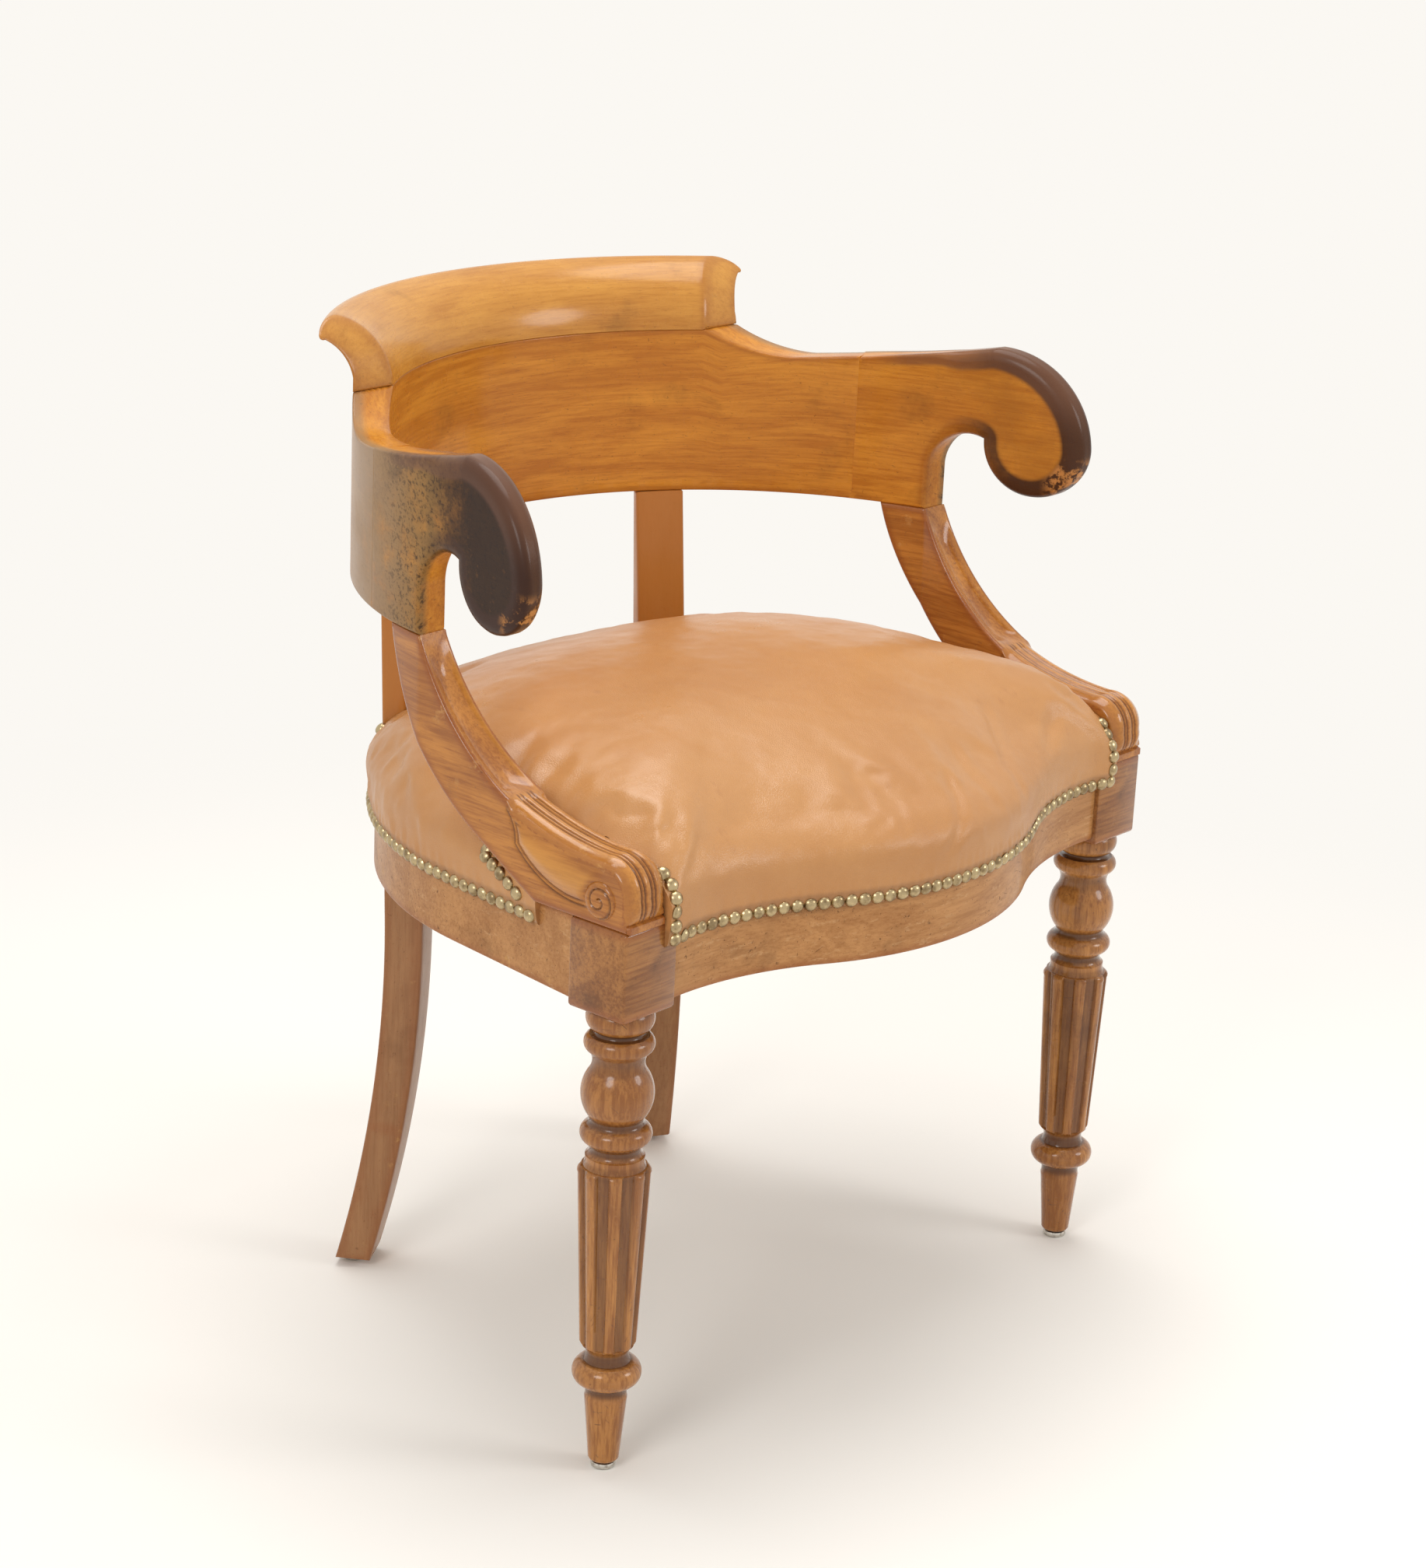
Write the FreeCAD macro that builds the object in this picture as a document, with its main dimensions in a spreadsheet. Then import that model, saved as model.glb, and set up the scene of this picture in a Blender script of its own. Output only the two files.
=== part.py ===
import FreeCAD, Part
import math
import os
from types import SimpleNamespace

from FreeCAD import Placement, Rotation, Vector

# Gondola desk chair: a horseshoe back on two sabre legs and two carved arm supports, turned and
# reeded front legs, and a domed leather seat held by dome nails. The front faces -Y, the floor is
# z = 0, and "reach" is a distance along Y from the upright axis that the back is bent round.

# Driving sizes, in millimetres and degrees
SIZES = {
    # Plan of the back: one circle, with arms that leave it on straight, flared lines
    "back_axis_y": -57.0,
    "band_radius": 308.0,
    "band_thickness": 27.5,
    "arm_outer_flare": 11.8,
    "arm_inner_flare": 14.5,
    "arm_joint_angle": 65.0,
    # Side view of the band and the scrolled arms
    "band_rise": 165.0,
    "band_depth": 134.0,
    "crest_foot_reach": 219.0,
    "arm_cove_length": 51.0,
    "arm_dip_drop": 20.5,
    "arm_rise_reach": 90.0,
    "arm_rise_drop": 10.5,
    "scroll_top_reach": 11.0,
    "scroll_top_rise": 5.0,
    "scroll_brow_reach": -47.0,
    "scroll_brow_drop": 26.0,
    "scroll_reach": -25.5,
    "scroll_drop": 75.0,
    "scroll_radius": 42.0,
    "hook_reach": 60.0,
    "hook_rise": 36.0,
    # Crest rail: its section leans back and ends in a rolled lip
    "crest_height": 52.5,
    "crest_lip_reach": 25.0,
    "crest_lip_drop": 8.0,
    "crest_end_lean": 28.0,
    # Seat frame
    "seat_frame_top": 425.0,
    "rail_depth": 62.0,
    "rail_thickness": 28.0,
    "rail_inset": 21.0,
    "rail_flare": 7.5,
    "front_bow": 62.0,
    "bow_margin": 14.0,
    "rail_setback": 4.0,
    "tenon_thickness": 10.0,
    "tenon_height": 44.0,
    "tenon_length": 22.0,
    "leg_tenon_length": 13.0,
    # Turned front legs
    "leg_inset": 8.5,
    "front_leg_reach": -123.5,
    "block_width": 53.0,
    "block_depth": 66.5,
    "block_shoulder": 1.6,
    "collar_radius": 24.5,
    "collar_depth": 14.5,
    "upper_ring_radius": 25.4,
    "upper_ring_drop": 26.5,
    "upper_ring_half": 7.0,
    "bulb_radius": 26.2,
    "bulb_drop": 37.5,
    "bulb_half": 19.0,
    "lower_ring_radius": 25.9,
    "lower_ring_drop": 31.0,
    "lower_ring_half": 7.2,
    "neck_radius": 19.0,
    "foot_ring_radius": 25.3,
    "foot_ring_drop": 21.0,
    "foot_ring_half": 9.0,
    "shaft_drop": 24.5,
    "shaft_length": 141.0,
    "shaft_top_radius": 26.2,
    "shaft_bottom_radius": 20.4,
    "reed_count": 8,
    "reed_depth": 3.0,
    "flute_width": 9.0,
    "ankle_radius": 15.4,
    "foot_radius": 11.0,
    # Sabre rear legs, which run on up to the band as posts
    "rear_leg_angle": 33.0,
    "rear_leg_width": 40.0,
    "rear_leg_splay": 1.5,
    "knee_drop": 125.0,
    "knee_inset": 6.5,
    "knee_depth": 30.5,
    "post_inset": 18.0,
    "post_depth": 11.0,
    "heel_kick": 38.5,
    "heel_depth": 28.0,
    "sabre_hollow": 12.0,
    "post_tenon_thickness": 6.0,
    "post_tenon_width": 26.0,
    "post_tenon_height": 20.0,
    # Carved arm supports
    "support_width": 39.0,
    "support_head_depth": 37.0,
    "support_foot_length": 88.0,
    "support_waist_reach": -2.0,
    "support_waist_rise": 34.0,
    "leaf_length": 119.0,
    "leaf_tip_rise": 69.0,
    "leaf_relief": 1.6,
    "volute_inset": 23.0,
    "volute_rise": 19.0,
    "volute_radius": 11.5,
    "volute_relief": 2.6,
    "plinth_height": 5.0,
    "plinth_lip": 1.5,
    "support_groove_width": 2.2,
    "support_groove_depth": 1.3,
    "support_groove_gap": 6.0,
    # Seat
    "leather_thickness": 2.2,
    "leather_hem_drop": 21.0,
    "seat_shoulder_rise": 21.0,
    "seat_bulge": 3.0,
    "shoulder_inset": 24.0,
    "shoulder_rise": 28.0,
    "seat_crown_rise": 95.0,
    "crown_reach": 50.0,
    "crown_radius": 800.0,
    "webbing_width": 50.0,
    "webbing_thickness": 1.4,
    "webbing_pitch": 86.0,
    "webbing_lap": 18.0,
    "hessian_thickness": 1.0,
    "nail_radius": 5.2,
    "nail_dome": 3.0,
    "nail_seat": 0.2,
    "nail_pitch": 10.6,
    "nail_line_drop": 13.5,
    # Small parts and fits
    "glide_radius": 9.2,
    "leg_lift": 6.0,
    "glide_nail_width": 2.6,
    "glide_nail_length": 14.0,
    "tongue_thickness": 8.0,
    "tongue_length": 40.0,
    "crest_tongue_width": 50.0,
    "arm_tongue_width": 60.0,
    "support_tongue_width": 18.0,
    "foot_tongue_width": 18.0,
    "joint_clearance": 0.15,
    "soft_clearance": 0.4,
}

# Places, each a step from the piece that it belongs to
PLACES = {
    "rail_radius": "band_radius - rail_inset",
    "front_leg_x": "rail_radius - leg_inset",
    "front_bow_half_span": "front_leg_x - block_width / 2 - bow_margin",
    "knee_outer": "rail_radius - knee_inset",
    "knee_inner": "knee_outer - knee_depth",
    "post_outer": "band_radius - post_inset",
    "post_inner": "post_outer - post_depth",
    "heel_outer": "knee_outer + heel_kick",
    "heel_inner": "heel_outer - heel_depth",
    "support_outer_x": "front_leg_x + block_width / 2",
    "support_inner_x": "support_outer_x - support_width",
    "support_toe_reach": "front_leg_reach - block_width / 2",
    "support_heel_reach": "support_toe_reach + support_foot_length",
    "volute_reach": "support_toe_reach + volute_inset",
    "leaf_tip_reach": "support_toe_reach + leaf_length",
    "support_back_reach": "hook_reach + support_head_depth",
    "arm_dip_reach": "crest_foot_reach - arm_cove_length",
    "crest_top_reach": "crest_foot_reach + crest_end_lean",
    "crest_lip_radius": "band_radius + crest_lip_reach",
    "rail_bottom": "seat_frame_top - rail_depth",
    "block_bottom": "seat_frame_top - block_depth",
    "collar_bottom": "block_bottom - collar_depth",
    "upper_ring_height": "block_bottom - upper_ring_drop",
    "bulb_height": "upper_ring_height - bulb_drop",
    "lower_ring_height": "bulb_height - lower_ring_drop",
    "shaft_top": "lower_ring_height - shaft_drop",
    "shaft_bottom": "shaft_top - shaft_length",
    "foot_ring_height": "shaft_bottom - foot_ring_drop",
    "knee_height": "seat_frame_top - knee_drop",
    "band_bottom": "seat_frame_top + band_rise",
    "seam_height": "band_bottom + band_depth",
    "arm_dip_height": "seam_height - arm_dip_drop",
    "arm_rise_height": "seam_height - arm_rise_drop",
    "scroll_top_height": "seam_height + scroll_top_rise",
    "scroll_brow_height": "scroll_top_height - scroll_brow_drop",
    "scroll_height": "scroll_top_height - scroll_drop",
    "hook_height": "band_bottom + hook_rise",
    "crest_top": "seam_height + crest_height",
    "crest_lip_height": "crest_top - crest_lip_drop",
    "support_waist_height": "seat_frame_top + support_waist_rise",
    "leaf_tip_height": "seat_frame_top + leaf_tip_rise",
    "volute_height": "seat_frame_top + volute_rise",
    "leather_hem_height": "seat_frame_top - leather_hem_drop",
    "seat_shoulder_height": "seat_frame_top + seat_shoulder_rise",
    "seat_crown_height": "seat_frame_top + seat_crown_rise",
    "nail_line_height": "seat_frame_top - nail_line_drop",
}

doc = FreeCAD.newDocument("gondola_chair")
sheet = doc.addObject("Spreadsheet::Sheet", "Sizes")
ALIASES = list(SIZES) + list(PLACES)
for row, alias in enumerate(ALIASES, start=1):
    sheet.set(f"A{row}", alias)
    sheet.set(f"B{row}", str(SIZES[alias]) if alias in SIZES else "=" + PLACES[alias])
    sheet.setAlias(f"B{row}", alias)
    doc.recompute()
s = SimpleNamespace(**{alias: float(sheet.get(alias)) for alias in ALIASES})

# Directions of a drawing: on the floor plan, or upright and seen from the side
FLAT = Rotation()
SIDE = Rotation(Vector(1, 1, 1), 120)
FAR = 400.0
PARTS = {}


class Pen:
    """Draws one closed outline of lines and three-point arcs."""

    def __init__(self, x, y):
        self.first = Vector(x, y, 0)
        self.at = self.first
        self.edges = []

    def line(self, x, y):
        end = Vector(x, y, 0)
        if end.distanceToPoint(self.at) > 1e-6:
            self.edges.append(Part.LineSegment(self.at, end))
        self.at = end
        return self

    def arc(self, middle, end):
        end = Vector(*end, 0)
        self.edges.append(Part.Arc(self.at, Vector(*middle, 0), end))
        self.at = end
        return self

    def flats(self, middle, end, steps):
        """An arc drawn as a few flats, which keeps small turned and moulded rounds light."""
        curve = Part.Arc(self.at, Vector(*middle, 0), Vector(*end, 0))
        span = curve.LastParameter - curve.FirstParameter
        places = [curve.value(curve.FirstParameter + span * step / steps) for step in range(steps + 1)]
        if places[0].distanceToPoint(self.at) > places[-1].distanceToPoint(self.at):
            places.reverse()
        for place in places[1:]:
            self.line(place.x, place.y)
        return self

    def close(self):
        self.line(self.first.x, self.first.y)
        return self.edges


def bind(thing, cells):
    """Ties properties of an object to cells of the sheet."""
    for prop, formula in cells.items():
        thing.setExpression(prop, formula)
    return thing


def cell(formula):
    """Writes a formula whose names are aliases of the sheet."""
    return " ".join(f"Sizes.{word}" if word in ALIASES else word for word in formula.split())


def prism(name, edges, length, turn=FLAT, at=(0, 0, 0), both_ways=False):
    """Extrudes a drawing along its normal by a length given as a formula."""
    drawing = doc.addObject("Sketcher::SketchObject", name + "_drawing")
    drawing.addGeometry(edges, False)
    drawing.Placement = Placement(Vector(*at), turn)
    solid = doc.addObject("Part::Extrusion", name)
    solid.Base = drawing
    solid.DirMode = "Normal"
    solid.Solid = True
    solid.Symmetric = both_ways
    return bind(solid, {"LengthFwd": cell(length)})


def block(name, length, width, height, placement):
    """A box whose three sizes are formulas; its corner is at the placement."""
    box = doc.addObject("Part::Box", name)
    box.Placement = placement
    return bind(box, {"Length": cell(length), "Width": cell(width), "Height": cell(height)})


def rod(name, radius, length, placement):
    """A round rod along the placement's own Z, centred on it."""
    pin = doc.addObject("Part::Cylinder", name)
    bind(pin, {"Radius": cell(radius), "Height": cell(length)})
    doc.recompute()
    pin.Placement = placement * Placement(Vector(0, 0, -pin.Height.Value / 2), FLAT)
    return pin


def joined(kind, name, base, tool):
    """A boolean of two objects: Part::Cut or Part::Common."""
    result = doc.addObject(kind, name)
    result.Base = base
    result.Tool = tool
    return result


def cut(name, base, tools):
    """Takes every tool away from the base."""
    tool = tools[0]
    if len(tools) > 1:
        tool = group(name + "_tools", tools)
    return joined("Part::Cut", name, base, tool)


def common(name, base, tool):
    return joined("Part::Common", name, base, tool)


def fuse(name, shapes):
    result = doc.addObject("Part::MultiFuse", name)
    result.Shapes = shapes
    result.Refine = True
    return result


def group(name, links):
    """Several separate solids kept in one object."""
    result = doc.addObject("Part::Compound", name)
    result.Links = links
    return result


def mirrored(name, source):
    """The other hand of a piece, across the chair's middle plane."""
    twin = doc.addObject("Part::Mirroring", name)
    twin.Source = source
    twin.Normal = Vector(1, 0, 0)
    return twin


def keep(label, thing):
    """Names a finished sub-part."""
    thing.Label = label
    PARTS[label] = thing
    return thing


def on_back(radius, angle, height=0.0):
    """A point round the back's axis; the angle is zero at the back and grows to the sitter's right."""
    turn = math.radians(angle)
    return Vector(-radius * math.sin(turn), s.back_axis_y + radius * math.cos(turn), height)


def reach_y(reach):
    return s.back_axis_y + reach


# The horseshoe plan of the band and arms

def flare_corner(radius, flare):
    """Where the straight arm leaves its circle, seen from the axis."""
    turn = math.radians(flare)
    return radius * math.cos(turn), radius * math.sin(turn)


def flare_end(radius, flare, reach):
    """The point of the straight arm line at a given reach."""
    x, y = flare_corner(radius, flare)
    return x + (y - reach) * math.tan(math.radians(flare)), reach


def horseshoe_plan(front_reach):
    outer, inner = s.band_radius, s.band_radius - s.band_thickness
    out_x, out_y = flare_corner(outer, s.arm_outer_flare)
    in_x, in_y = flare_corner(inner, s.arm_inner_flare)
    out_end = flare_end(outer, s.arm_outer_flare, front_reach)
    in_end = flare_end(inner, s.arm_inner_flare, front_reach)
    pen = Pen(-out_end[0], out_end[1]).line(-out_x, out_y)
    pen.arc((0, outer), (out_x, out_y)).line(*out_end).line(*in_end)
    pen.line(in_x, in_y).arc((0, inner), (-in_x, in_y)).line(-in_end[0], in_end[1])
    return pen.close()


def arm_side_outline():
    """Dip behind the crest, rise to the scroll, the hook under it, then the level bottom edge."""
    front = s.scroll_reach - s.scroll_radius
    back = s.scroll_reach + s.scroll_radius
    bottom = s.scroll_height - s.scroll_radius
    cove = (s.crest_foot_reach + s.arm_dip_reach) / 2, s.arm_dip_height + 5.0
    pen = Pen(s.crest_foot_reach, s.seam_height)
    pen.arc(cove, (s.arm_dip_reach, s.arm_dip_height))
    pen.arc((s.arm_rise_reach, s.arm_rise_height), (s.scroll_top_reach, s.scroll_top_height))
    pen.arc((s.scroll_brow_reach, s.scroll_brow_height), (front, s.scroll_height))
    pen.arc((s.scroll_reach, bottom), (back, s.scroll_height))
    hook_crown = back + 0.62 * (s.hook_reach - back), s.scroll_height - 2.0
    pen.arc(hook_crown, (s.hook_reach, s.hook_height))
    pen.line(s.hook_reach, s.band_bottom).line(FAR, s.band_bottom).line(FAR, s.seam_height)
    return pen.close()


def arm_sector(name, side):
    """The space forward of the joint between the band and one arm."""
    turn = math.radians(s.arm_joint_angle)
    edge = (side * FAR * math.sin(turn), FAR * math.cos(turn))
    pen = Pen(0, 0).line(*edge).line(side * 2 * FAR, edge[1]).line(side * 2 * FAR, -FAR).line(0, -FAR)
    return prism(name, pen.close(), "seat_frame_top + crest_top", at=(0, s.back_axis_y, 0))


def make_horseshoe():
    front = s.scroll_reach - s.scroll_radius - 10
    plan = prism("horseshoe", horseshoe_plan(front), "crest_top", at=(0, s.back_axis_y, 0))
    side = prism("arm_profile", arm_side_outline(), "band_radius * 3", SIDE, (0, s.back_axis_y, 0), True)
    return common("horseshoe_blank", plan, side)


# Loose tongues: each is a flat slip of wood in two mortises that are slightly roomier

def tongue(name, point, turn, width, length):
    """A slip centred on a joint: thick along its own X, wide along Y, and reaching both ways along Z."""
    slips = []
    for ending, gap in (("", 0.0), ("_mortise", s.joint_clearance)):
        corner = Vector(-s.tongue_thickness / 2 - gap, -width / 2 - gap, -length / 2 - gap)
        slips.append(block(name + ending, f"tongue_thickness + {2 * gap}", f"{width + 2 * gap}",
                           f"{length + 2 * gap}", Placement(point, turn) * Placement(corner, FLAT)))
    return slips


def back_turn(angle):
    """Turns a drawing's X outward from the back's axis."""
    return Rotation(Vector(0, 0, 1), 90 + angle)


def mid_radius():
    return s.band_radius - s.band_thickness / 2


def crest_tongues():
    angles = (-26, 0, 26)
    return [tongue(f"crest_tongue_{i}", on_back(mid_radius() + 1, angle, s.seam_height), back_turn(angle),
                   s.crest_tongue_width, s.tongue_length) for i, angle in enumerate(angles)]


def arm_tongue(side):
    angle = side * s.arm_joint_angle
    height = (s.band_bottom + s.arm_dip_height) / 2
    turn = back_turn(angle) * Rotation(Vector(1, 0, 0), 90)
    return tongue(f"arm_tongue_{side}", on_back(mid_radius(), angle, height), turn,
                  s.arm_tongue_width, s.tongue_length)


def support_tongues(side):
    """One between the arm and the head of its support, one between the support's foot and the leg."""
    reach = (s.hook_reach + s.support_back_reach) / 2 - 4
    angle = side * math.degrees(math.acos(reach / mid_radius()))
    head = tongue(f"support_head_tongue_{side}", on_back(mid_radius(), angle, s.band_bottom),
                  back_turn(angle), s.support_tongue_width, s.tongue_length)
    foot_reach = s.front_leg_reach - s.block_width / 2 + s.foot_tongue_width / 2 + 5
    foot_point = Vector(-side * (s.front_leg_x + 8), reach_y(foot_reach), s.seat_frame_top)
    foot = tongue(f"support_foot_tongue_{side}", foot_point, FLAT, s.foot_tongue_width, s.tongue_length)
    return [head, foot]


def slips(pairs):
    return [slip for slip, mortise in pairs]


def mortises_of(pairs):
    return [mortise for slip, mortise in pairs]


# Crest rail

def crest_section():
    """Radius and height: hollow back, rolled lip, long cove in front."""
    inner = s.band_radius - s.band_thickness
    lip = s.crest_lip_radius
    pen = Pen(inner, s.seam_height)
    pen.flats((inner + 14.5, s.seam_height + 35.0), (lip - 9.5, s.crest_top), 4)
    pen.flats((lip - 4.0, s.crest_top - 1.6), (lip, s.crest_lip_height), 2)
    pen.line(lip - 3.0, s.crest_lip_height - 4.4)
    pen.flats((s.band_radius + 7.0, s.seam_height + 26.5), (s.band_radius, s.seam_height + 12.0), 3)
    pen.line(s.band_radius, s.seam_height)
    return pen.close()


def make_crest(mortises):
    body = doc.addObject("PartDesign::Body", "crest_blank")
    body.Placement = Placement(Vector(0, s.back_axis_y, 0), FLAT)
    plane = next(f for f in body.Origin.OriginFeatures if f.Role == "XZ_Plane")
    drawing = body.newObject("Sketcher::SketchObject", "crest_section")
    drawing.AttachmentSupport = (plane, [""])
    drawing.MapMode = "FlatFace"
    drawing.addGeometry(crest_section(), False)
    turned = body.newObject("PartDesign::Revolution", "crest_turned")
    turned.Profile = drawing
    turned.ReferenceAxis = (drawing, ["V_Axis"])
    turned.Angle = 360
    end = Pen(s.crest_foot_reach, s.seam_height)
    end.arc((s.crest_foot_reach + 6.5, s.seam_height + 27), (s.crest_top_reach, s.crest_top + 1))
    end.line(FAR, s.crest_top + 1).line(FAR, s.seam_height)
    ends = prism("crest_ends", end.close(), "band_radius * 3", SIDE, (0, s.back_axis_y, 0), True)
    shaped = common("crest_shaped", body, ends)
    return cut("crest", shaped, mortises)


# Seat rails

def bow_radius():
    """The front rail is three equal tangent arcs: forward, and back again on each side."""
    span, bow = s.front_bow_half_span, s.front_bow
    return (span * span + bow * bow) / (4 * bow)


def rail_face_reach():
    return s.front_leg_reach - s.block_width / 2 + s.rail_setback


def bow_curve(pen, grow, right_to_left):
    """The serpentine, moved forward by grow; the pen stands at one of its ends."""
    radius, span, face = bow_radius(), s.front_bow_half_span, rail_face_reach()
    bow = s.front_bow
    sign = -1 if right_to_left else 1
    tip_y = face - bow - grow
    lean = math.asin(span / 2 / radius)
    meet_x = (radius + grow) * math.sin(lean)
    meet_y = face - bow + radius - (radius + grow) * math.cos(lean)
    half = math.radians(math.degrees(lean) / 2)
    side_x = span - (radius - grow) * math.sin(half)
    side_y = face - radius + (radius - grow) * math.cos(half)
    pen.arc((-sign * side_x, side_y), (-sign * meet_x, meet_y))
    pen.arc((0, tip_y), (sign * meet_x, meet_y))
    pen.arc((sign * side_x, side_y), (sign * span, face - grow))
    return pen


def front_rail_plan():
    face, end = rail_face_reach(), s.front_leg_x - s.block_width / 2
    pen = Pen(-end, face).line(-s.front_bow_half_span, face)
    bow_curve(pen, 0.0, False)
    back = face + s.rail_thickness
    pen.line(end, face).line(end, back).line(s.front_bow_half_span, back)
    bow_curve(pen, -s.rail_thickness, True)
    pen.line(-end, back)
    return pen.close()


def rail_height():
    return "seat_frame_top - rail_bottom"


def tenon_bottom():
    return (s.seat_frame_top + s.rail_bottom - s.tenon_height) / 2


def tenon_pair(name, length, corner, turn):
    """A tenon and the roomier mortise that it goes into; both run along their own X."""
    gap = s.joint_clearance
    tenon = block(name, length, "tenon_thickness", "tenon_height", Placement(corner, turn))
    shift = Placement(corner, turn) * Placement(Vector(-gap, -gap, -gap), FLAT)
    mortise = block(name + "_mortise", length + " + 2 * joint_clearance",
                    "tenon_thickness + 2 * joint_clearance", "tenon_height + 2 * joint_clearance", shift)
    return tenon, mortise


def front_tenons():
    """One at each end of the front rail, running along X into the leg blocks."""
    inside = s.front_leg_x - s.block_width / 2
    y = reach_y(rail_face_reach() + (s.rail_thickness - s.tenon_thickness) / 2)
    right = Vector(-inside - s.tenon_length, y, tenon_bottom())
    left = Vector(inside - 1, y, tenon_bottom())
    return (tenon_pair("front_tenon_right", "tenon_length + 1", right, FLAT),
            tenon_pair("front_tenon_left", "tenon_length + 1", left, FLAT))


def side_tenon():
    """At the front end of the right side rail, running forward into the leg block."""
    block_back = s.front_leg_reach + s.block_width / 2
    outer_x = flare_end(s.rail_radius, s.rail_flare, block_back)[0]
    x = -outer_x + (s.rail_thickness + s.tenon_thickness) / 2
    corner = Vector(x, reach_y(block_back) - s.tenon_length, tenon_bottom())
    return tenon_pair("side_tenon", "tenon_length + 1", corner, Rotation(Vector(0, 0, 1), 90))


def leg_tenon(name, angle, from_front):
    """At a rear leg, running round the back into one side of it."""
    turn = math.radians(angle)
    radial = Vector(-math.sin(turn), math.cos(turn), 0)
    along = Vector(math.cos(turn), math.sin(turn), 0)
    half = s.rear_leg_width / 2
    start = -half - 1 if from_front else half - s.leg_tenon_length
    middle = s.rail_radius - s.rail_thickness / 2 - 1
    corner = on_back(middle - s.tenon_thickness / 2, angle, tenon_bottom()) + along * start
    frame = Rotation(along, radial, Vector(0, 0, 1), "ZXY")
    return tenon_pair(name, "leg_tenon_length + 1", corner, frame)


def make_front_rail(tenons):
    plan = prism("front_rail_blank", front_rail_plan(), rail_height(), at=(0, s.back_axis_y, s.rail_bottom))
    return fuse("front_rail", [plan] + [tenon for tenon, mortise in tenons])


def side_rail_plan():
    """Outer and inner lines of the right side rail, from the leg block into the rear leg."""
    outer, inner = s.rail_radius, s.rail_radius - s.rail_thickness
    block_back = s.front_leg_reach + s.block_width / 2
    end = s.rear_leg_angle
    start = 90 - s.rail_flare
    middle = math.radians((start + end) / 2)
    last = math.radians(end)
    points = {}
    for name, radius in (("outer", outer), ("inner", inner)):
        corner = flare_corner(radius, s.rail_flare)
        points[name] = (flare_end(radius, s.rail_flare, block_back), corner,
                        (radius * math.sin(middle), radius * math.cos(middle)),
                        (radius * math.sin(last), radius * math.cos(last)))
    front, corner, mid, back = points["outer"]
    pen = Pen(-front[0], front[1]).line(-corner[0], corner[1]).arc((-mid[0], mid[1]), (-back[0], back[1]))
    front, corner, mid, back = points["inner"]
    pen.line(-back[0], back[1]).arc((-mid[0], mid[1]), (-corner[0], corner[1])).line(-front[0], front[1])
    return pen.close()


def make_side_rail(leg_space, tenons):
    plan = prism("side_rail_blank", side_rail_plan(), rail_height(), at=(0, s.back_axis_y, s.rail_bottom))
    fitted = cut("side_rail_fitted", plan, [leg_space])
    return fuse("side_rail", [fitted] + tenons)


def back_rail_plan():
    outer, inner = s.rail_radius, s.rail_radius - s.rail_thickness
    turn = math.radians(s.rear_leg_angle)
    x, y = math.sin(turn), math.cos(turn)
    pen = Pen(-outer * x, outer * y).arc((0, outer), (outer * x, outer * y))
    pen.line(inner * x, inner * y).arc((0, inner), (-inner * x, inner * y))
    return pen.close()


def make_back_rail(leg_spaces, tenons):
    plan = prism("back_rail_blank", back_rail_plan(), rail_height(), at=(0, s.back_axis_y, s.rail_bottom))
    fitted = cut("back_rail_fitted", plan, leg_spaces)
    return fuse("back_rail", [fitted] + tenons)


# Sabre rear legs

def rear_leg_outline(grow):
    """Radius and height of the leg seen square to its side: straight post, curved sabre foot."""
    foot = -10.0
    knee = s.knee_height
    mid = (knee + foot) / 2
    out_mid = (s.knee_outer + s.heel_outer) / 2 - s.sabre_hollow + grow
    in_mid = (s.knee_inner + s.heel_inner) / 2 - s.sabre_hollow - grow
    pen = Pen(s.post_outer + grow, s.band_bottom).line(s.knee_outer + grow, knee)
    pen.arc((out_mid, mid), (s.heel_outer + grow, foot))
    pen.line(s.heel_inner - grow, foot).arc((in_mid, mid), (s.knee_inner - grow, knee))
    pen.line(s.post_inner - grow, s.band_bottom)
    return pen.close()


def rear_leg_frame(angle):
    """Drawing frame of a leg: its X runs outward, its Y up, and the foot leans away from the middle."""
    turn = math.radians(angle)
    radial = Vector(-math.sin(turn), math.cos(turn), 0)
    upright = Rotation(radial, Vector(0, 0, 1), Vector(), "XYZ")
    lean = math.copysign(s.rear_leg_splay, angle)
    pivot = on_back(s.rail_radius, angle, s.seat_frame_top)
    tilt = Placement(Vector(), Rotation(radial, lean), pivot)
    return tilt * Placement(Vector(0, s.back_axis_y, 0), upright)


def rear_leg_prism(name, angle, grow):
    frame = rear_leg_frame(angle)
    width = "rear_leg_width" if grow == 0 else f"rear_leg_width + {2 * grow}"
    return prism(name, rear_leg_outline(grow), width, frame.Rotation, tuple(frame.Base), True)


def post_tenon(name, angle, gap):
    """Stub at the head of the post, or with a gap the mortise for it in the band."""
    middle = (s.post_outer + s.post_inner) / 2 + 0.5
    inside = 2.0
    low = Vector(middle - s.post_tenon_thickness / 2 - gap, s.band_bottom - inside,
                 -s.post_tenon_width / 2 - gap)
    frame = rear_leg_frame(angle) * Placement(low, FLAT)
    return block(name, f"post_tenon_thickness + {2 * gap}", f"post_tenon_height + {inside + gap}",
                 f"post_tenon_width + {2 * gap}", frame)


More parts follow.
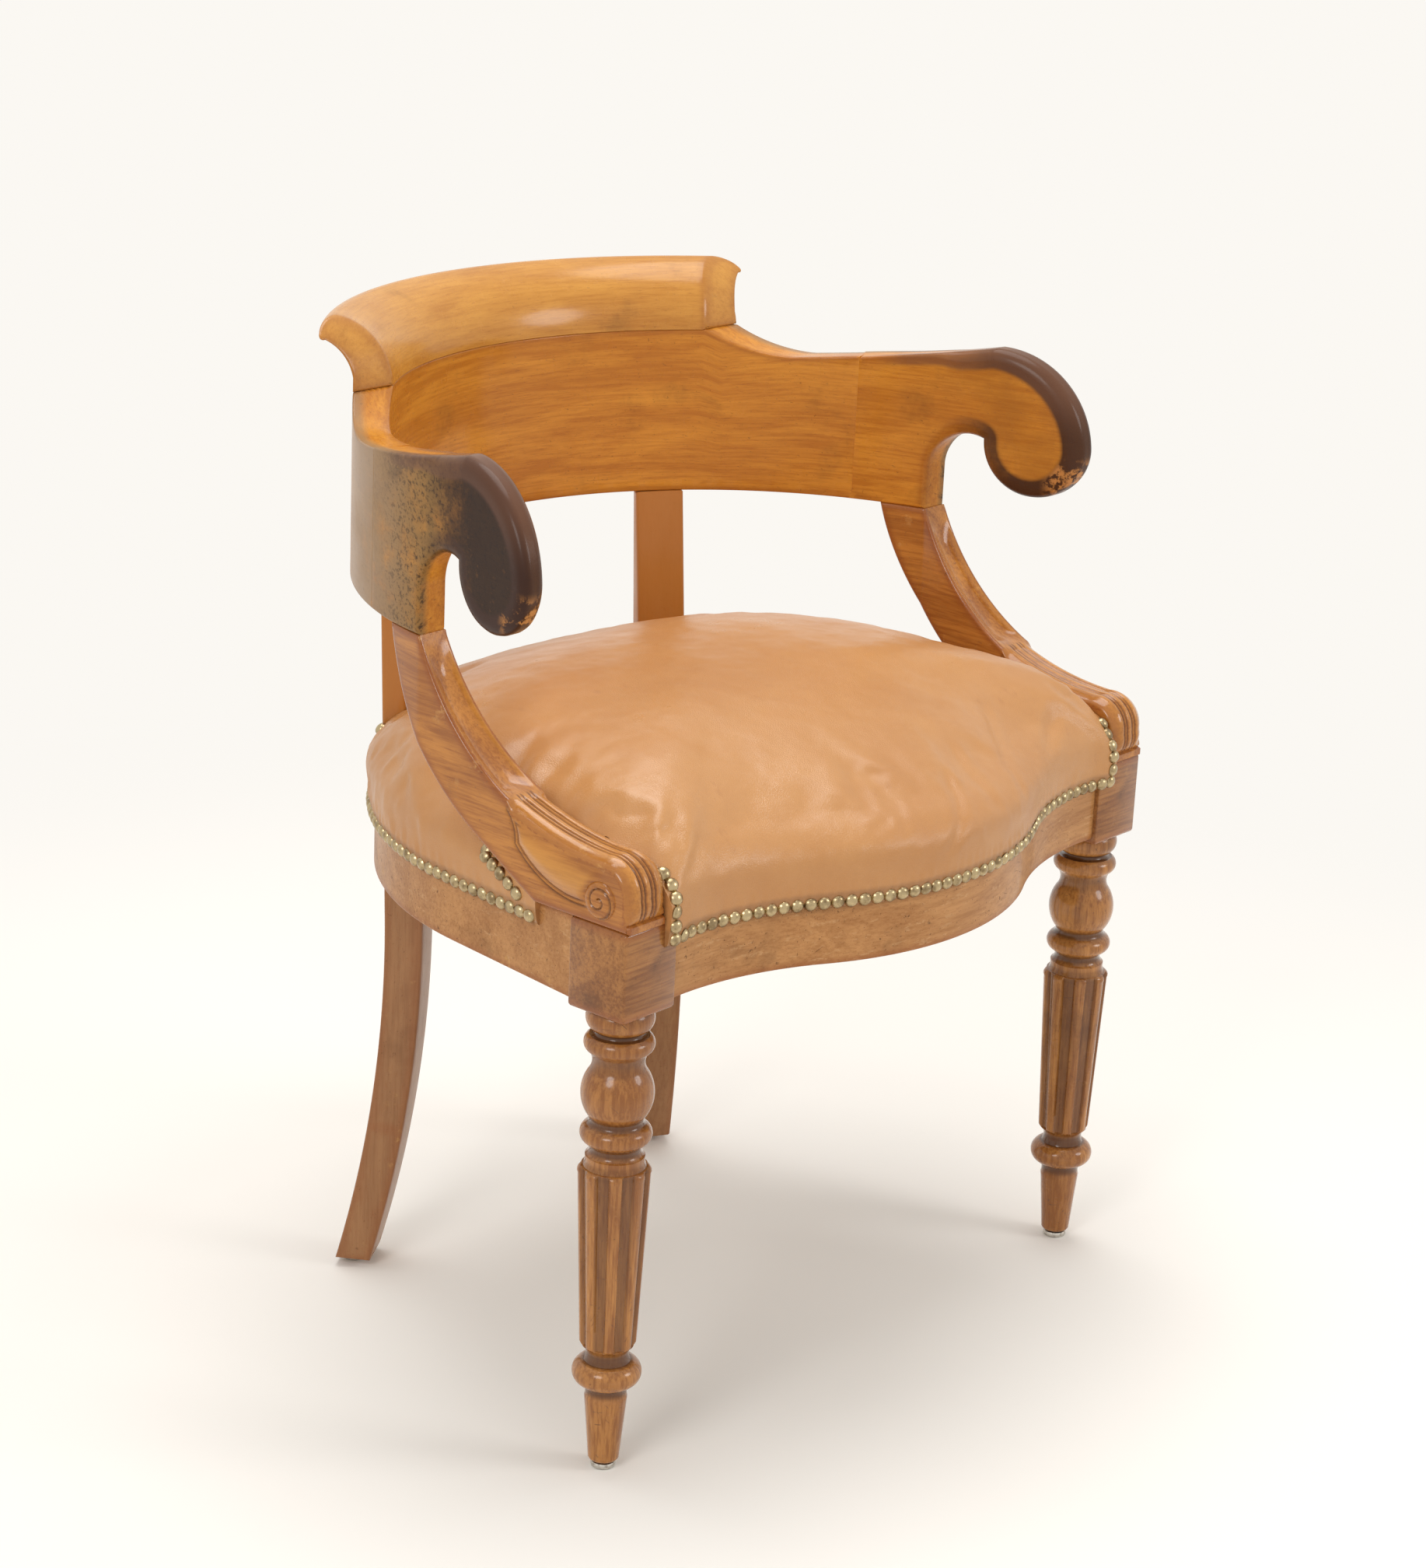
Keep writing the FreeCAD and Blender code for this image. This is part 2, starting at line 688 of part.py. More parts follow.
def make_rear_leg(mortises, nail_hole):
    leg = rear_leg_prism("rear_leg_blank", s.rear_leg_angle, 0)
    floor = block("rear_leg_trim", f"{FAR}", f"{FAR}", "leg_lift + 50",
                  Placement(on_back(s.heel_outer, s.rear_leg_angle, -50) - Vector(FAR / 2, FAR / 2, 0), FLAT))
    lid = block("rear_leg_head_trim", f"{FAR}", f"{FAR}", "band_bottom",
                Placement(on_back(s.post_outer, s.rear_leg_angle, s.band_bottom) - Vector(FAR / 2, FAR / 2, 0),
                          FLAT))
    trimmed = cut("rear_leg_trimmed", leg, [floor, lid] + mortises + [nail_hole])
    return fuse("rear_leg", [trimmed, post_tenon("post_tenon", s.rear_leg_angle, 0)])


def rear_foot():
    """Middle of the sole of the right rear leg."""
    frame = rear_leg_frame(s.rear_leg_angle)
    middle = (s.heel_outer + s.heel_inner) / 2 - 1.5
    point = frame.multVec(Vector(middle, s.leg_lift, 0))
    return Vector(point.x, point.y, s.leg_lift)


# Turned front legs

def turned_profile():
    """Radius and height from the square block down: collar, rings and bulb on a neck, shaft, ring and foot."""
    neck = s.neck_radius
    pen = Pen(0, s.block_bottom + 2).line(s.collar_radius, s.block_bottom + 2)
    pen.line(s.collar_radius, s.collar_bottom).line(neck, s.collar_bottom)
    pen.line(neck, s.upper_ring_height + s.upper_ring_half)
    pen.flats((s.upper_ring_radius, s.upper_ring_height), (neck, s.upper_ring_height - s.upper_ring_half), 3)
    pen.line(neck, s.bulb_height + s.bulb_half)
    pen.flats((s.bulb_radius, s.bulb_height), (neck, s.bulb_height - s.bulb_half), 3)
    pen.line(neck, s.lower_ring_height + s.lower_ring_half)
    pen.flats((s.lower_ring_radius, s.lower_ring_height), (neck, s.lower_ring_height - s.lower_ring_half), 3)
    pen.line(neck, s.shaft_top)
    pen.line(s.shaft_top_radius, s.shaft_top).line(s.shaft_bottom_radius, s.shaft_bottom)
    ring_top = s.foot_ring_height + s.foot_ring_half
    ring_bottom = s.foot_ring_height - s.foot_ring_half
    pen.line(s.ankle_radius, s.shaft_bottom).line(s.ankle_radius, ring_top)
    pen.flats((s.foot_ring_radius, s.foot_ring_height), (s.ankle_radius, ring_bottom), 3)
    pen.line(s.ankle_radius, ring_bottom - 4).line(s.foot_radius, s.leg_lift).line(0, s.leg_lift)
    return pen.close()


def leg_drawing(body, name, role, edges, height=None):
    drawing = body.newObject("Sketcher::SketchObject", name)
    plane = next(f for f in body.Origin.OriginFeatures if f.Role == role)
    drawing.AttachmentSupport = (plane, [""])
    drawing.MapMode = "FlatFace"
    if height:
        bind(drawing, {"AttachmentOffset.Base.z": cell(height)})
    drawing.addGeometry(edges, False)
    return drawing


def block_square():
    half = s.block_width / 2
    return Pen(-half, -half).line(half, -half).line(half, half).line(-half, half).close()


def lower_edges(shape):
    """Names of the four straight edges round the underside of the leg's block."""
    names = []
    for number, edge in enumerate(shape.Edges, start=1):
        ends = [vertex.Point for vertex in edge.Vertexes]
        level = all(abs(end.z - s.block_bottom) < 0.01 for end in ends)
        if level and abs(edge.Length - s.block_width) < 0.01:
            names.append(f"Edge{number}")
    return names


def leg_flute(body):
    """One flat-bottomed hollow between two reeds, cut down the whole tapered shaft."""
    rise = s.shaft_top - s.shaft_bottom
    taper = math.degrees(math.atan((s.shaft_top_radius - s.shaft_bottom_radius) / rise))
    past = 3.0
    floor = s.shaft_bottom_radius - s.reed_depth - past * math.tan(math.radians(taper))
    flute = body.newObject("PartDesign::SubtractiveBox", "leg_flute")
    plane = next(f for f in body.Origin.OriginFeatures if f.Role == "XY_Plane")
    flute.AttachmentSupport = (plane, [""])
    flute.MapMode = "FlatFace"
    flute.AttachmentOffset = Placement(Vector(floor, -s.flute_width / 2, s.shaft_bottom - past),
                                       Rotation(Vector(0, 1, 0), taper))
    return bind(flute, {"Length": cell("reed_depth * 3"), "Width": cell("flute_width"),
                        "Height": cell(f"shaft_top - shaft_bottom + {2 * past}")})


def make_front_leg(mortises, drilled):
    body = doc.addObject("PartDesign::Body", "front_leg_turned")
    body.Placement = Placement(Vector(-s.front_leg_x, reach_y(s.front_leg_reach), 0), FLAT)
    turned = body.newObject("PartDesign::Revolution", "leg_turning")
    turned.Profile = leg_drawing(body, "leg_profile", "XZ_Plane", turned_profile())
    turned.ReferenceAxis = (turned.Profile[0], ["V_Axis"])
    turned.Angle = 360
    square = body.newObject("PartDesign::Pad", "leg_block")
    square.Profile = leg_drawing(body, "leg_square", "XY_Plane", block_square(), "block_bottom")
    bind(square, {"Length": cell("seat_frame_top - block_bottom")})
    doc.recompute()
    eased = body.newObject("PartDesign::Chamfer", "leg_shoulder")
    eased.Base = (square, lower_edges(square.Shape))
    bind(eased, {"Size": cell("block_shoulder")})
    flute = leg_flute(body)
    doc.recompute()
    reeds = body.newObject("PartDesign::PolarPattern", "leg_reeds")
    reeds.Originals = [flute]
    reeds.Axis = (turned.Profile[0], ["V_Axis"])
    reeds.Angle = 360
    bind(reeds, {"Occurrences": cell("reed_count")})
    body.Tip = reeds
    return cut("front_leg", body, mortises + drilled)


# Carved arm supports

def support_outline():
    """Reach and height: the S-shaped front with its scrolled toe, and the long hollow back."""
    front_top = s.hook_reach - 1
    toe = s.support_toe_reach
    base = s.seat_frame_top
    pen = Pen(front_top, s.band_bottom)
    pen.arc((front_top - 29, s.band_bottom - 47), (s.leaf_tip_reach, s.leaf_tip_height))
    pen.arc((s.leaf_tip_reach - 41, s.leaf_tip_height - 13.5), (toe + 28, s.leaf_tip_height - 20))
    pen.arc((toe + 6, s.leaf_tip_height - 27), (toe - 2, base + 22))
    pen.arc((toe - 1.4, base + s.plinth_height + 5), (toe + 1, base + s.plinth_height))
    pen.line(toe - s.plinth_lip, base + s.plinth_height).line(toe - s.plinth_lip, base)
    pen.line(s.support_heel_reach, base).line(s.support_waist_reach, s.support_waist_height)
    pen.arc((s.support_waist_reach + 63, s.support_waist_height + 55), (s.support_back_reach, s.band_bottom))
    return pen.close()


def support_plan():
    """Plan of the right support: the band's own curve at the top, straight and wider at the foot."""
    outer, inner = s.band_radius, s.band_radius - s.band_thickness
    back, front = s.support_back_reach + 2, s.hook_reach - 2
    toe = s.support_toe_reach - 10

    def on_circle(radius, reach):
        return -math.sqrt(radius ** 2 - reach ** 2), reach

    middle = (back + front) / 2
    pen = Pen(*on_circle(outer, back)).arc(on_circle(outer, middle), on_circle(outer, front))
    pen.line(-s.support_outer_x, s.leaf_tip_reach).line(-s.support_outer_x, toe)
    pen.line(-s.support_inner_x, toe).line(-s.support_inner_x, s.support_heel_reach)
    pen.line(*on_circle(inner, front)).arc(on_circle(inner, middle), on_circle(inner, back))
    return pen.close()


def leaf_outline():
    """Reach and height of the raised leaf on the side of the support, ending at the volute."""
    tip, top = s.leaf_tip_reach, s.leaf_tip_height
    end, low = s.volute_reach, s.volute_height
    pen = Pen(tip - 4, top - 8)
    pen.flats((tip - 41, top - 20.5), (s.support_toe_reach + 28, top - 26.5), 4)
    pen.line(end, low + 4).line(end, low - 5)
    pen.flats((tip - 45, low - 2), (tip - 12.5, top - 30), 4)
    pen.flats((tip - 10.5, top - 18), (tip - 4, top - 8), 2)
    return pen.close()


def support_groove(name, x):
    """A channel along the top of the toe and down its front, following the support's front line."""
    toe, base = s.support_toe_reach, s.seat_frame_top
    tip, top = s.leaf_tip_reach, s.leaf_tip_height
    deep = s.support_groove_depth
    pen = Pen(tip - 12, top - 4)
    pen.flats((tip - 45, top - 14.7 - deep), (toe + 28 - deep / 3, top - 20 - deep), 3)
    pen.flats((toe + 6 + deep * 0.7, top - 27 - deep * 0.7), (toe - 2 + deep, base + 22), 3)
    pen.line(toe - 2 + deep, base + s.plinth_height + 8).line(toe - 12, base + s.plinth_height + 8)
    pen.line(toe - 12, top)
    half = s.support_groove_width / 2
    return prism(name, pen.close(), "support_groove_width", SIDE, (x - half, s.back_axis_y, 0))


def make_support(mortises):
    side = prism("support_side", support_outline(), "band_radius * 3", SIDE, (0, s.back_axis_y, 0), True)
    plan = prism("support_plan", support_plan(), "crest_top", at=(0, s.back_axis_y, 0))
    sawn = common("support_sawn", side, plan)
    inside = 4.0
    leaf = prism("support_leaf", leaf_outline(), f"leaf_relief + {inside}", SIDE,
                 (-s.support_outer_x - s.leaf_relief, s.back_axis_y, 0))
    volute = rod("support_volute", "volute_radius", f"2 * volute_relief + {inside}",
                 Placement(Vector(-s.support_outer_x, reach_y(s.volute_reach), s.volute_height),
                           Rotation(Vector(0, 1, 0), 90)))
    carved = fuse("support_carved", [sawn, leaf, volute])
    middle = -(s.support_outer_x + s.support_inner_x) / 2
    grooves = [support_groove(f"support_groove_{i}", middle + (i - 1) * s.support_groove_gap) for i in range(3)]
    return cut("support", carved, grooves + mortises)


# Glides under the four feet: a thick disc and a square nail

def make_glide(name, foot):
    disc = rod(name + "_disc", "glide_radius", "leg_lift",
               Placement(Vector(foot.x, foot.y, s.leg_lift / 2), FLAT))
    return fuse(name, [disc, glide_nail(name + "_nail", foot, 0.0)])


def glide_nail(name, foot, gap):
    """The nail of a glide, or with a gap the hole that it is driven into."""
    half, inside = s.glide_nail_width / 2 + gap, 2.0
    corner = foot - Vector(half, half, inside)
    return block(name, f"{2 * half}", f"{2 * half}", f"glide_nail_length + {inside + gap}",
                 Placement(corner, FLAT))


# Soft seat

def seat_plan(grow, height):
    """The seat's plan at one height, grown from the faces of the rails or drawn in from them."""
    face = rail_face_reach()
    step = face - s.rail_setback
    drawn_in = min(grow, 0.0)
    block_inside = max(s.front_bow_half_span + 3, s.front_leg_x - s.block_width / 2 + drawn_in)
    corner_x = s.front_leg_x + s.block_width / 2 - 12 + drawn_in
    radius = s.rail_radius + grow
    flare_x, flare_y = flare_corner(radius, s.rail_flare)
    side = flare_end(radius, s.rail_flare, s.front_leg_reach)
    slant = math.sin(math.radians(45))
    pen = Pen(-s.front_bow_half_span, face - grow)
    bow_curve(pen, grow, False)
    pen.line(block_inside, step - grow).line(corner_x, step - grow).line(*side)
    pen.line(flare_x, flare_y).arc((radius * slant, radius * slant), (0, radius))
    pen.arc((-radius * slant, radius * slant), (-flare_x, flare_y)).line(-side[0], side[1])
    pen.line(-corner_x, step - grow).line(-block_inside, step - grow)
    wire = Part.Wire([edge.toShape() for edge in pen.close()])
    wire.Placement = Placement(Vector(0, s.back_axis_y, height), FLAT)
    return wire


def dome_solid(skin, start):
    """The stuffed seat: sides drawn in under a bulge, a soft shoulder, and a crown of eight gores.

    skin is how far the solid lies inside the leather's outer face. Each pair of gores is one wide, level
    cylinder, and the four cylinders cross over the middle of the seat.
    """
    base = s.leather_thickness + s.soft_clearance - skin
    shoulder = s.seat_shoulder_height - skin
    bulge = base + s.seat_bulge
    inset = bulge - s.shoulder_inset
    sides = [(hem_grow(start) - skin, start), (bulge, shoulder), (inset, shoulder + s.shoulder_rise),
             (inset, s.seat_crown_height + 5)]
    wall = Part.makeLoft([seat_plan(*section) for section in sides], True, True)
    middle = Vector(0, reach_y(s.crown_reach), s.seat_crown_height - skin - s.crown_radius)
    for turn in range(4):
        along = Rotation(Vector(0, 0, 1), 45 * turn).multVec(Vector(1, 0, 0))
        wall = wall.common(Part.makeCylinder(s.crown_radius, 2 * FAR, middle - along * FAR, along))
    return wall


def hem_grow(height):
    """How far the leather stands out from the rails at a height below its shoulder."""
    share = (height - s.leather_hem_height) / (s.seat_shoulder_height - s.leather_hem_height)
    return s.leather_thickness + s.soft_clearance + s.seat_bulge * max(0.0, share)


def support_space():
    """The right side of the seat that the support and its leg block take up, with room to spare."""
    gap = s.soft_clearance
    base = s.leather_hem_height - 10
    pen = Pen(s.support_heel_reach + gap, base).line(s.support_heel_reach + gap, s.seat_frame_top)
    pen.line(s.support_waist_reach + gap, s.support_waist_height)
    pen.arc((s.support_waist_reach + 63 + gap, s.support_waist_height + 55),
            (s.support_back_reach + gap, s.band_bottom))
    pen.line(-FAR, s.band_bottom).line(-FAR, base)
    depth = FAR - s.support_inner_x
    return prism("support_space", pen.close(), f"{depth}", SIDE, (-FAR + gap, s.back_axis_y, 0))


def soft_piece(name, shape):
    feature = doc.addObject("Part::Feature", name)
    feature.Shape = shape
    return feature


def cloth_plan(height):
    """The backing cloth: a many-sided sheet that laps on to the rails."""
    radius = s.rail_radius - s.webbing_lap
    corners = [on_back(radius, angle, height) for angle in range(-80, 81, 20)]
    front = rail_face_reach() + s.webbing_lap / 2
    for x in (-1, -0.55, 0.55, 1):
        bow = s.front_bow * 0.7 if abs(x) < 1 else 0
        corners.append(Vector(x * s.front_bow_half_span, reach_y(front - bow), height))
    return Part.makePolygon(corners + corners[:1])


def strap_ends(x):
    """Front and back ends of a strap that runs from the front rail to the back rail."""
    radius, span, face = bow_radius(), s.front_bow_half_span, rail_face_reach()
    if abs(x) < span / 2:
        front = face - s.front_bow + radius - math.sqrt(radius ** 2 - x ** 2)
    else:
        front = face - radius + math.sqrt(radius ** 2 - (span - abs(x)) ** 2)
    widest = abs(x) + s.webbing_width / 2
    back = math.sqrt((s.rail_radius - s.rail_thickness) ** 2 - widest ** 2)
    return front + s.rail_thickness - s.webbing_lap, back + s.webbing_lap / 2


def make_webbing_lengthwise():
    straps = []
    for count in (-1, 0, 1):
        x = count * s.webbing_pitch
        front, back = strap_ends(x)
        corner = Vector(x - s.webbing_width / 2, reach_y(front), s.seat_frame_top)
        straps.append(block(f"strap_lengthwise_{count + 1}", "webbing_width", f"{back - front}",
                            "webbing_thickness", Placement(corner, FLAT)))
    return group("webbing_lengthwise", straps)


def make_webbing_across():
    straps = []
    low = s.seat_frame_top + s.webbing_thickness
    for count in (-1, 0, 1):
        reach = count * s.webbing_pitch + 20
        edge = max(abs(reach - s.webbing_width / 2), abs(reach + s.webbing_width / 2))
        half = math.sqrt((s.rail_radius - s.rail_thickness) ** 2 - edge ** 2) + s.webbing_lap / 2
        corner = Vector(-half, reach_y(reach) - s.webbing_width / 2, low)
        straps.append(block(f"strap_across_{count + 1}", f"{2 * half}", "webbing_width",
                            "webbing_thickness", Placement(corner, FLAT)))
    return group("webbing_across", straps)


# Dome nails

def nail(point, outward):
    """A small six-sided point that stands on the leather, where a domed nail sits."""
    outward = Vector(outward).normalize()
    side = outward.cross(Vector(0, 0, 1)).normalize()
    other = outward.cross(side)
    seat = point + outward * s.nail_seat
    turns = [k * math.pi / 3 for k in range(6)]
    ring = [seat + (side * math.cos(turn) + other * math.sin(turn)) * s.nail_radius for turn in turns]
    tip = seat + outward * s.nail_dome
    faces = [Part.Face(Part.makePolygon(ring + ring[:1]))]
    for first, second in zip(ring, ring[1:] + ring[:1]):
        faces.append(Part.Face(Part.makePolygon([first, second, tip, first])))
    return Part.makeSolid(Part.makeShell(faces))


def hem_points(keep_point):
    """Evenly spaced places along the nail line, with the outward direction at each."""
    wire = seat_plan(hem_grow(s.nail_line_height), s.nail_line_height)
    count = int(round(wire.Length / s.nail_pitch))
    points = wire.discretize(Number=count + 1)[:-1]
    places = []
    for index, point in enumerate(points):
        along = points[(index + 1) % len(points)] - points[index - 1]
        outward = Vector(along.y, -along.x, 0)
        middle = Vector(0, s.back_axis_y, s.nail_line_height)
        if outward.dot(point - middle) < 0:
            outward = -outward
        if keep_point(point):
            places.append((point, outward))
    return places


def is_front(point):
    return point.y < reach_y(s.front_leg_reach) and abs(point.x) < s.front_leg_x - 14


def is_side(point, side):
    behind_support = point.y > reach_y(s.support_heel_reach + s.nail_radius)
    return behind_support and side * point.x < -abs(on_back(s.rail_radius, s.rear_leg_angle).x)


def is_back(point):
    return point.y > s.back_axis_y and abs(point.x) <= abs(on_back(s.rail_radius, s.rear_leg_angle).x)


def nail_row(name, keep_point):
    return soft_piece(name, Part.makeCompound([nail(*place) for place in hem_points(keep_point)]))


def crown_height(x, reach):
    """Height of the crown over a point of the seat: the lowest of its four crossed cylinders."""
    away = reach - s.crown_reach
    slant = math.sqrt(0.5)
    offsets = (x, away, slant * (x + away), slant * (x - away))
    fall = s.crown_radius - math.sqrt(s.crown_radius ** 2 - max(abs(o) for o in offsets) ** 2)
    return s.seat_crown_height - fall


def toe_nails():
    """Up the front of the leather and back over its edge, close beside the right support."""
    x = -s.support_inner_x + s.soft_clearance + s.nail_radius
    face = rail_face_reach() - s.rail_setback
    low, shoulder = s.nail_line_height + s.nail_pitch, s.seat_shoulder_height
    bulge = hem_grow(shoulder)
    slope = s.shoulder_rise / s.shoulder_inset
    line = [(face - hem_grow(low), low), (face - bulge, shoulder)]
    for inward in range(4, 57, 4):
        line.append((face - bulge + inward, min(shoulder + inward * slope, crown_height(x, face + inward))))
    corners = [Vector(x, reach_y(reach), height) for reach, height in line]
    path = Part.makePolygon(corners)
    places = path.discretize(Number=int(path.Length / s.nail_pitch) + 1)
    nails = []
    for index, place in enumerate(places):
        along = places[min(index + 1, len(places) - 1)] - places[max(index - 1, 0)]
        outward = Vector(0, -along.z, along.y)
        nails.append(nail(place + outward.normalize() * 0.6, outward))
    return nails


def heel_nails():
    """Up the side of the leather, close behind the back edge of the right support."""
    start = Vector(0, s.support_heel_reach + 10, s.nail_line_height + 8)
    end = Vector(0, s.support_waist_reach + 4, s.seat_shoulder_height)
    steps = int(start.distanceToPoint(end) / s.nail_pitch)
    nails = []
    for step in range(1, steps + 1):
        place = start + (end - start) * (step / steps)
        radius = s.rail_radius + hem_grow(place.z)
        x = -flare_end(radius, s.rail_flare, place.y)[0]
        nails.append(nail(Vector(x, reach_y(place.y), place.z), Vector(-1, 0.13, 0)))
    return nails


# Assembly

def make_frame():
    crest_pairs = crest_tongues()
    arm_pairs = {side: arm_tongue(side) for side in (1, -1)}
    support_pairs = {side: support_tongues(side) for side in (1, -1)}
    keep("crest_rail", make_crest(mortises_of(crest_pairs)))

    blank = make_horseshoe()
    sectors = {1: arm_sector("right_sector", -1), -1: arm_sector("left_sector", 1)}
    post_mortises = [post_tenon(f"post_mortise_{side}", side * s.rear_leg_angle, s.joint_clearance)
                     for side in (1, -1)]
    band = cut("band_blank", blank, list(sectors.values()))
    keep("back_band", cut("band", band, mortises_of(crest_pairs + list(arm_pairs.values())) + post_mortises))
    for side, label in ((1, "right_arm"), (-1, "left_arm")):
        arm = common(label + "_blank", blank, sectors[side])
        keep(label, cut(label, arm, mortises_of([arm_pairs[side], support_pairs[side][0]])))
    keep("crest_tongues", group("crest_tongue_set", slips(crest_pairs)))
    keep("arm_tongues", group("arm_tongue_set", slips(arm_pairs.values())))
    keep("support_tongues", group("support_tongue_set", slips(support_pairs[1] + support_pairs[-1])))

    support = keep("right_arm_support", make_support(mortises_of(support_pairs[1])))
    keep("left_arm_support", mirrored("left_support", support))
    make_legs_and_rails(support_pairs[1][1][1])


def make_legs_and_rails(support_mortise):
    front_tenon_right, front_tenon_left = front_tenons()
    side = side_tenon()
    from_side = leg_tenon("side_leg_tenon", s.rear_leg_angle, True)
    from_back = leg_tenon("back_leg_tenon_right", s.rear_leg_angle, False)
    from_back_left = leg_tenon("back_leg_tenon_left", -s.rear_leg_angle, True)
    leg_space = rear_leg_prism("rear_leg_space", s.rear_leg_angle, s.joint_clearance)
    leg_space_left = rear_leg_prism("rear_leg_space_left", -s.rear_leg_angle, s.joint_clearance)

    front_foot = Vector(-s.front_leg_x, reach_y(s.front_leg_reach), s.leg_lift)
    feet = (front_foot, rear_foot())
    nail_holes = [glide_nail(f"glide_hole_{i}", foot, s.joint_clearance) for i, foot in enumerate(feet)]
    leg = keep("right_front_leg", make_front_leg([front_tenon_right[1], side[1]],
                                                 [support_mortise, nail_holes[0]]))
    keep("left_front_leg", mirrored("left_leg", leg))
    rear = keep("right_rear_leg", make_rear_leg([from_side[1], from_back[1]], nail_holes[1]))
    keep("left_rear_leg", mirrored("left_rear", rear))

    keep("front_rail", make_front_rail((front_tenon_right, front_tenon_left)))
    rail = keep("right_side_rail", make_side_rail(leg_space, [side[0], from_side[0]]))
    keep("left_side_rail", mirrored("left_rail", rail))
    keep("back_rail", make_back_rail([leg_space, leg_space_left], [from_back[0], from_back_left[0]]))

    glides = [make_glide(f"glide_{i}", foot) for i, foot in enumerate(feet)]
    twins = [mirrored(f"glide_twin_{i}", glide) for i, glide in enumerate(glides)]
    keep("foot_glides", group("glide_set", glides + twins))


def make_seat():
    keep("webbing_lengthwise", make_webbing_lengthwise())
    keep("webbing_across", make_webbing_across())
    right_space = support_space()
    left_space = mirrored("support_space_left", right_space)
    gap = s.soft_clearance
    posts = [rear_leg_prism(f"post_space_{side}", side * s.rear_leg_angle, gap) for side in (1, -1)]
    spaces = [right_space, left_space] + posts
    doc.recompute()

    low = s.seat_frame_top + 2 * s.webbing_thickness
    cloth = Part.Face(cloth_plan(low)).extrude(Vector(0, 0, s.hessian_thickness))
    keep("seat_hessian", cut("hessian", soft_piece("hessian_blank", cloth), spaces))

    skin = s.leather_thickness + gap
    stuffing_base = low + s.hessian_thickness + gap / 2
    filling = dome_solid(skin, stuffing_base)
    keep("seat_stuffing", cut("stuffing", soft_piece("stuffing_blank", filling), spaces))

    outside = dome_solid(0.0, s.leather_hem_height)
    inside = dome_solid(s.leather_thickness, s.leather_hem_height - 1)
    shell = soft_piece("leather_blank", outside.cut(inside))
    keep("seat_leather", cut("leather", shell, spaces))

    keep("front_nails", nail_row("front_nail_set", is_front))
    keep("right_side_nails", nail_row("right_nail_set", lambda p: is_side(p, 1)))
    keep("left_side_nails", nail_row("left_nail_set", lambda p: is_side(p, -1)))
    keep("back_nails", nail_row("back_nail_set", is_back))
    extra = soft_piece("right_support_nail_set", Part.makeCompound(toe_nails() + heel_nails()))
    keep("right_support_nails", extra)
    keep("left_support_nails", mirrored("left_support_nail_set", extra))


make_frame()
make_seat()
doc.recompute()

broken = [thing.Name for thing in doc.Objects if {"Invalid", "Error"} & set(thing.State)]
bad = [label for label, thing in PARTS.items()
       if thing.Shape.isNull() or not thing.Shape.isValid() or not thing.Shape.Solids]
if broken or bad:
    raise RuntimeError(f"failed objects {broken}, bad shapes {bad}")

os.makedirs("parts", exist_ok=True)
for label, thing in PARTS.items():
    thing.Shape.exportStep(f"parts/{label}.step")
    solids = len(thing.Shape.Solids)
    print(f"{label}: {solids} solids, {thing.Shape.Volume / 1000:.1f} cm3")
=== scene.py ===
import cmath
import math

import bmesh
import bpy
import numpy as np
from mathutils import Matrix, Vector, geometry, noise
from mathutils.bvhtree import BVHTree


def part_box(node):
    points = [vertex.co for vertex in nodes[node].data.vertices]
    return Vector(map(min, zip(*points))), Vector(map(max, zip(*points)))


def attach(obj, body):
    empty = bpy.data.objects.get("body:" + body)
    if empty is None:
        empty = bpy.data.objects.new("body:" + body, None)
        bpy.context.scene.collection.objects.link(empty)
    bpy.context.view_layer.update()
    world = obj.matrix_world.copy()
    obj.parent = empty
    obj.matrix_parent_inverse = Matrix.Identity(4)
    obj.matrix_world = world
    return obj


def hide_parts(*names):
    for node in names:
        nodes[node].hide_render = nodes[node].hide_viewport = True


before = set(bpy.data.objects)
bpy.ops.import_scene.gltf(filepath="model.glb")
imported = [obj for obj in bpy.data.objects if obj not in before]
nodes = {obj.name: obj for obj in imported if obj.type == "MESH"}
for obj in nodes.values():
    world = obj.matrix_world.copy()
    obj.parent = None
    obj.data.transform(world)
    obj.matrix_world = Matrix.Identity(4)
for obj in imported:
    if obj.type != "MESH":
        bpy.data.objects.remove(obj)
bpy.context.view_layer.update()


# Turned front legs. Each is one square length of stained, varnished wood: the block that takes the rails and
# the arm support is left square, and below it the rings, bulb, reeded shaft and foot are turned and carved.

MM = 0.001
AXIS_Y = -57.0
SEAT_TOP = 425.0
LEG_X, LEG_REACH = 278.5, -123.5
BLOCK_WIDTH, BLOCK_BOTTOM = 53.0, 358.5
SHAFT_TOP, SHAFT_BOTTOM = 239.0, 98.0
REEDS = 8
SIDES = {"right": -1, "left": 1}
FAR = 40.0


